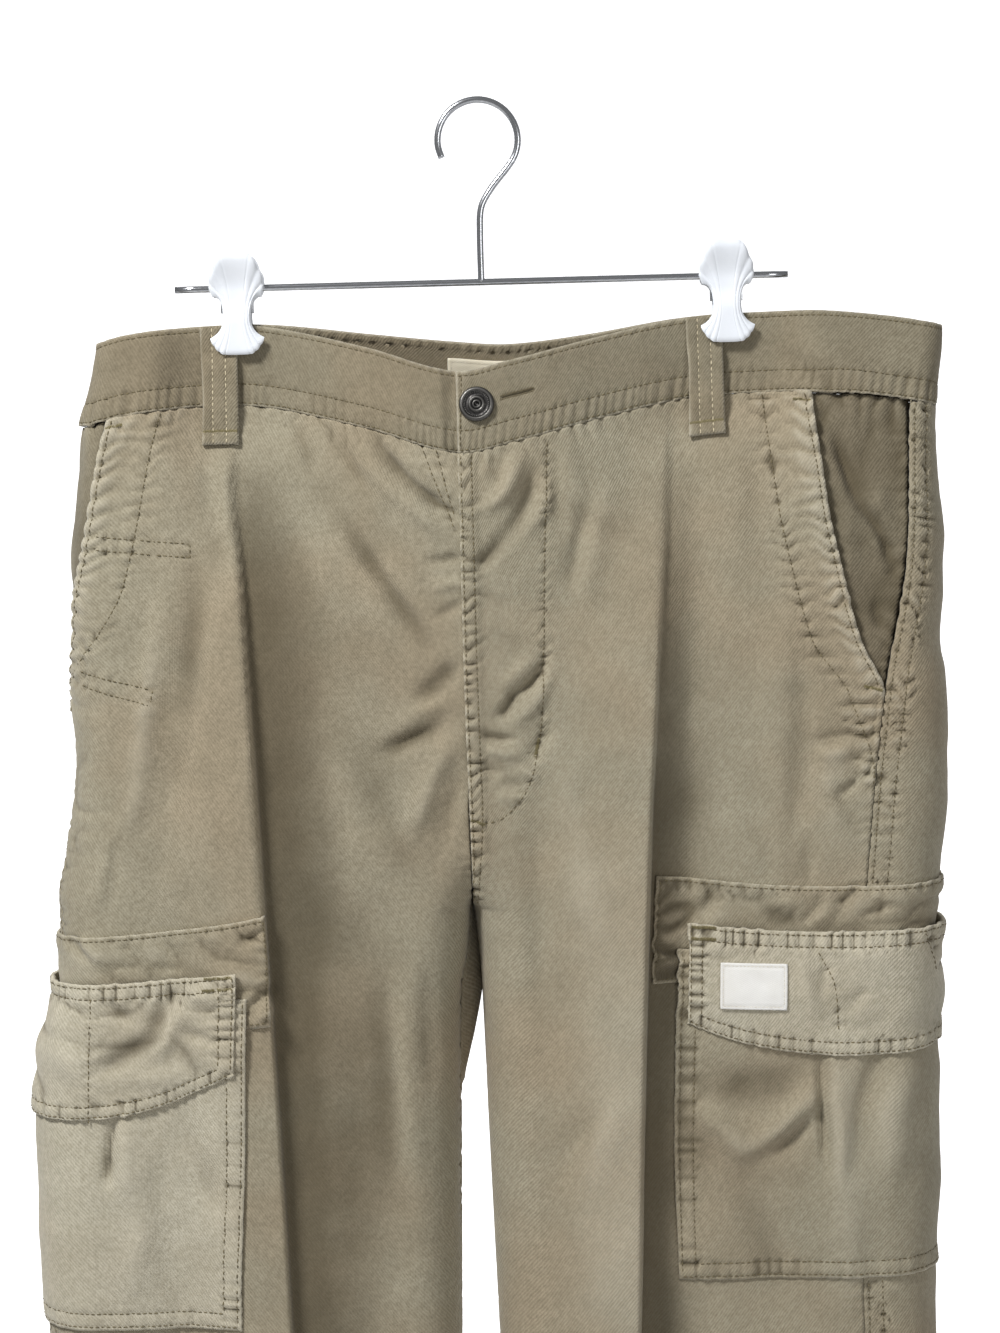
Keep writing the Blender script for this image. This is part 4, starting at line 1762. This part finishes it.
def swept(name, paths, radius):
    """Round wire along each path, as one mesh."""
    curve = bpy.data.curves.new(name, "CURVE")
    curve.dimensions = "3D"
    curve.bevel_depth = radius * MM
    curve.bevel_resolution = 5
    curve.use_fill_caps = True
    for path in paths:
        line = curve.splines.new("POLY")
        line.points.add(len(path) - 1)
        for point, place in zip(line.points, path):
            point.co = (*(np.array(place) * MM), 1)
    holder = bpy.data.objects.new(name, curve)
    bpy.context.scene.collection.objects.link(holder)
    depsgraph = bpy.context.evaluated_depsgraph_get()
    mesh = bpy.data.meshes.new_from_object(holder.evaluated_get(depsgraph))
    bpy.data.objects.remove(holder)
    bpy.data.curves.remove(curve)
    mesh.name = name
    bm = bmesh.new()
    bm.from_mesh(mesh)
    bmesh.ops.remove_doubles(bm, verts=bm.verts, dist=1e-6)
    bmesh.ops.recalc_face_normals(bm, faces=bm.faces)
    bm.to_mesh(mesh)
    bm.free()
    mesh.materials.clear()
    return mesh


def through_points(points, count):
    """A smooth line through points in space, closely stepped."""
    points = np.array(points, float)
    run = np.concatenate([[0], np.cumsum(np.linalg.norm(np.diff(points, axis=0), axis=1))])
    rows = {"run": run, "x": points[:, 0], "y": points[:, 1], "z": points[:, 2]}
    at = np.linspace(0, run[-1], count)
    return np.stack([line_through(rows, "run", key)(at) for key in "xyz"], -1)


middle = BAR_RADIUS - HOOK_RADIUS
hook = []
for degrees in np.arange(205, -41, -17.5):
    angle = math.radians(degrees)
    hook.append((HOOK_RADIUS * math.cos(angle), 0, middle + HOOK_RADIUS * math.sin(angle)))
hook += [(6, 0, -45), (1, 0, -54), (0, 0, -66), (0, 0, BAR_Z)]
bar_ends = [(x, 0, BAR_Z) for x in np.linspace(-BAR_LENGTH / 2, BAR_LENGTH / 2, 30)]
mesh = swept("hanger_wire_bright", [through_points(hook, 120), bar_ends], BAR_RADIUS)
put_on(new_object("hanger_wire_bright", mesh, CHROME_WIRE), "hanger_wire")
print("wire", len(mesh.polygons), "faces")

# %% Clip springs
SPRING_WIDE, SPRING_STRIP, SPRING_FOOT = 17, 0.7, 13


def spring(name, node, clip_x):
    """A strip bent over the bar: an arc between two legs, extruded across and given its thickness."""
    outer = BAR_RADIUS + 0.3 + SPRING_STRIP
    bm = bmesh.new()
    first = bm.verts.new((clip_x - SPRING_WIDE / 2, outer, BAR_Z - SPRING_FOOT))
    line = [first]
    for angle in np.linspace(0, math.pi, 17):
        line.append(bm.verts.new((first.co.x, outer * math.cos(angle), BAR_Z + outer * math.sin(angle))))
    line.append(bm.verts.new((first.co.x, -outer, BAR_Z - SPRING_FOOT)))
    edges = [bm.edges.new(pair) for pair in zip(line[:-1], line[1:])]
    for _ in range(6):
        made = bmesh.ops.extrude_edge_only(bm, edges=edges)["geom"]
        moved = [part for part in made if isinstance(part, bmesh.types.BMVert)]
        bmesh.ops.translate(bm, vec=(SPRING_WIDE / 6, 0, 0), verts=moved)
        edges = [part for part in made if isinstance(part, bmesh.types.BMEdge) and not part.is_manifold]
        edges = [edge for edge in edges if all(vertex in moved for vertex in edge.verts)]
    bmesh.ops.recalc_face_normals(bm, faces=bm.faces)
    outward = sum(face.normal.z for face in bm.faces if face.calc_center_median().z > BAR_Z)
    if outward < 0:
        bmesh.ops.reverse_faces(bm, faces=bm.faces)
    bmesh.ops.scale(bm, vec=(MM, MM, MM), verts=bm.verts)
    piece = new_object(name, mesh_of(bm, name), SPRING_STEEL)
    wall = piece.modifiers.new("strip", "SOLIDIFY")
    wall.thickness = SPRING_STRIP * MM
    wall.offset = -1
    rounding = piece.modifiers.new("soft_edge", "BEVEL")
    rounding.width = 0.15 * MM
    rounding.segments = 2
    rounding.limit_method = "ANGLE"
    return put_on(piece, node)


for side in (-1, 1):
    node = f"clip_spring_{side_name(side)}"
    piece = spring(f"{node}_strip", node, side * CLIP_X)
print("spring", len(piece.data.polygons), "faces")

# %% [markdown]
# ## Floor, backdrop, light and camera
#
# The shorts hang well above a plain pale floor, in front of a pale wall. The wall glows a little, as
# one that is lit evenly by lamps out of view. One soft lamp from high on the left models the folds,
# as its light rakes over the cloth, and a weak one from the right keeps their shaded sides readable.
# The camera looks straight at the front from a little above.


# %% Stage
def plane(name, width, height, place, turn, finish):
    bm = bmesh.new()
    bmesh.ops.create_grid(bm, x_segments=1, y_segments=1, size=0.5)
    bmesh.ops.scale(bm, vec=(width, height, 1), verts=bm.verts)
    bmesh.ops.rotate(bm, matrix=Matrix.Rotation(turn, 3, "X"), verts=bm.verts)
    bmesh.ops.translate(bm, vec=place, verts=bm.verts)
    piece = new_object(name, mesh_of(bm, name), finish)
    return piece


def pale(name, value, glow):
    n = Nodes(name)
    grain = n.span(n.noise(14, 3), 0.3, 0.7, 0.0, 1.0)
    tone = n.blend(grain, (value, value, value, 1), (value * 0.99, value * 0.99, value, 1))
    n.shader.inputs["Emission Color"].default_value = (1, 1, 1, 1)
    n.shader.inputs["Emission Strength"].default_value = glow
    return n.finish(tone, 0.9)


FLOOR_Z, WALL_Y = -1.6, 2.6
plane("floor", 8, 8, (0, -0.6, FLOOR_Z), 0, pale("floor_paint", 0.8, 0.0))
plane("backdrop", 9, 6, (0, WALL_Y, 0.6), math.pi / 2, pale("backdrop_paint", 0.93, 0.85))


def area_light(name, place, target, size, power):
    light = bpy.data.lights.new(name, "AREA")
    light.size = size
    light.energy = power
    lamp = bpy.data.objects.new(name, light)
    bpy.context.scene.collection.objects.link(lamp)
    lamp.location = place
    aim = Vector(target) - Vector(place)
    lamp.rotation_euler = aim.to_track_quat("-Z", "Y").to_euler()
    return lamp


world = bpy.data.worlds.new("studio")
world.use_nodes = True
world.node_tree.nodes["Background"].inputs[0].default_value = (1, 1, 1, 1)
world.node_tree.nodes["Background"].inputs[1].default_value = 0.2
bpy.context.scene.world = world
area_light("key", (-1.1, -1.25, 1.3), (0, 0, -0.4), 0.5, 57)
area_light("fill", (1.1, -1.8, -0.2), (0, 0, -0.4), 1.0, 8)

camera_data = bpy.data.cameras.new("camera")
camera_data.lens = 77.9
camera_data.sensor_width = 36
camera_data.sensor_fit = "AUTO"
camera = bpy.data.objects.new("camera", camera_data)
bpy.context.scene.collection.objects.link(camera)
AIM = Vector((0.0045, -0.030, -0.2936))
DISTANCE, LOOK_DOWN, ROLL = 1.5, math.radians(4), math.radians(1.51)
camera.location = AIM + DISTANCE * Vector((0, -math.cos(LOOK_DOWN), math.sin(LOOK_DOWN)))
look = (AIM - camera.location).to_track_quat("-Z", "Y")
camera.rotation_euler = (look.to_matrix() @ Matrix.Rotation(-ROLL, 3, "Z")).to_euler()
bpy.context.scene.camera = camera
bpy.context.scene.view_settings.view_transform = "Standard"

# %% [markdown]
# ## Size
#
# Last, the triangles are counted as they will be drawn, and the box of the finished model is set
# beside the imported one's. A cloth that strayed far from its wall would show here.

# %% Size
bpy.context.view_layer.update()
depsgraph = bpy.context.evaluated_depsgraph_get()
counts = {}
for piece in bpy.context.scene.objects:
    if piece.type == "MESH" and not piece.hide_render:
        mesh = piece.evaluated_get(depsgraph).to_mesh()
        counts[piece.name] = sum(len(face.vertices) - 2 for face in mesh.polygons)
largest = sorted(counts.items(), key=lambda item: -item[1])[:6]
print("triangles", sum(counts.values()), "largest", largest)
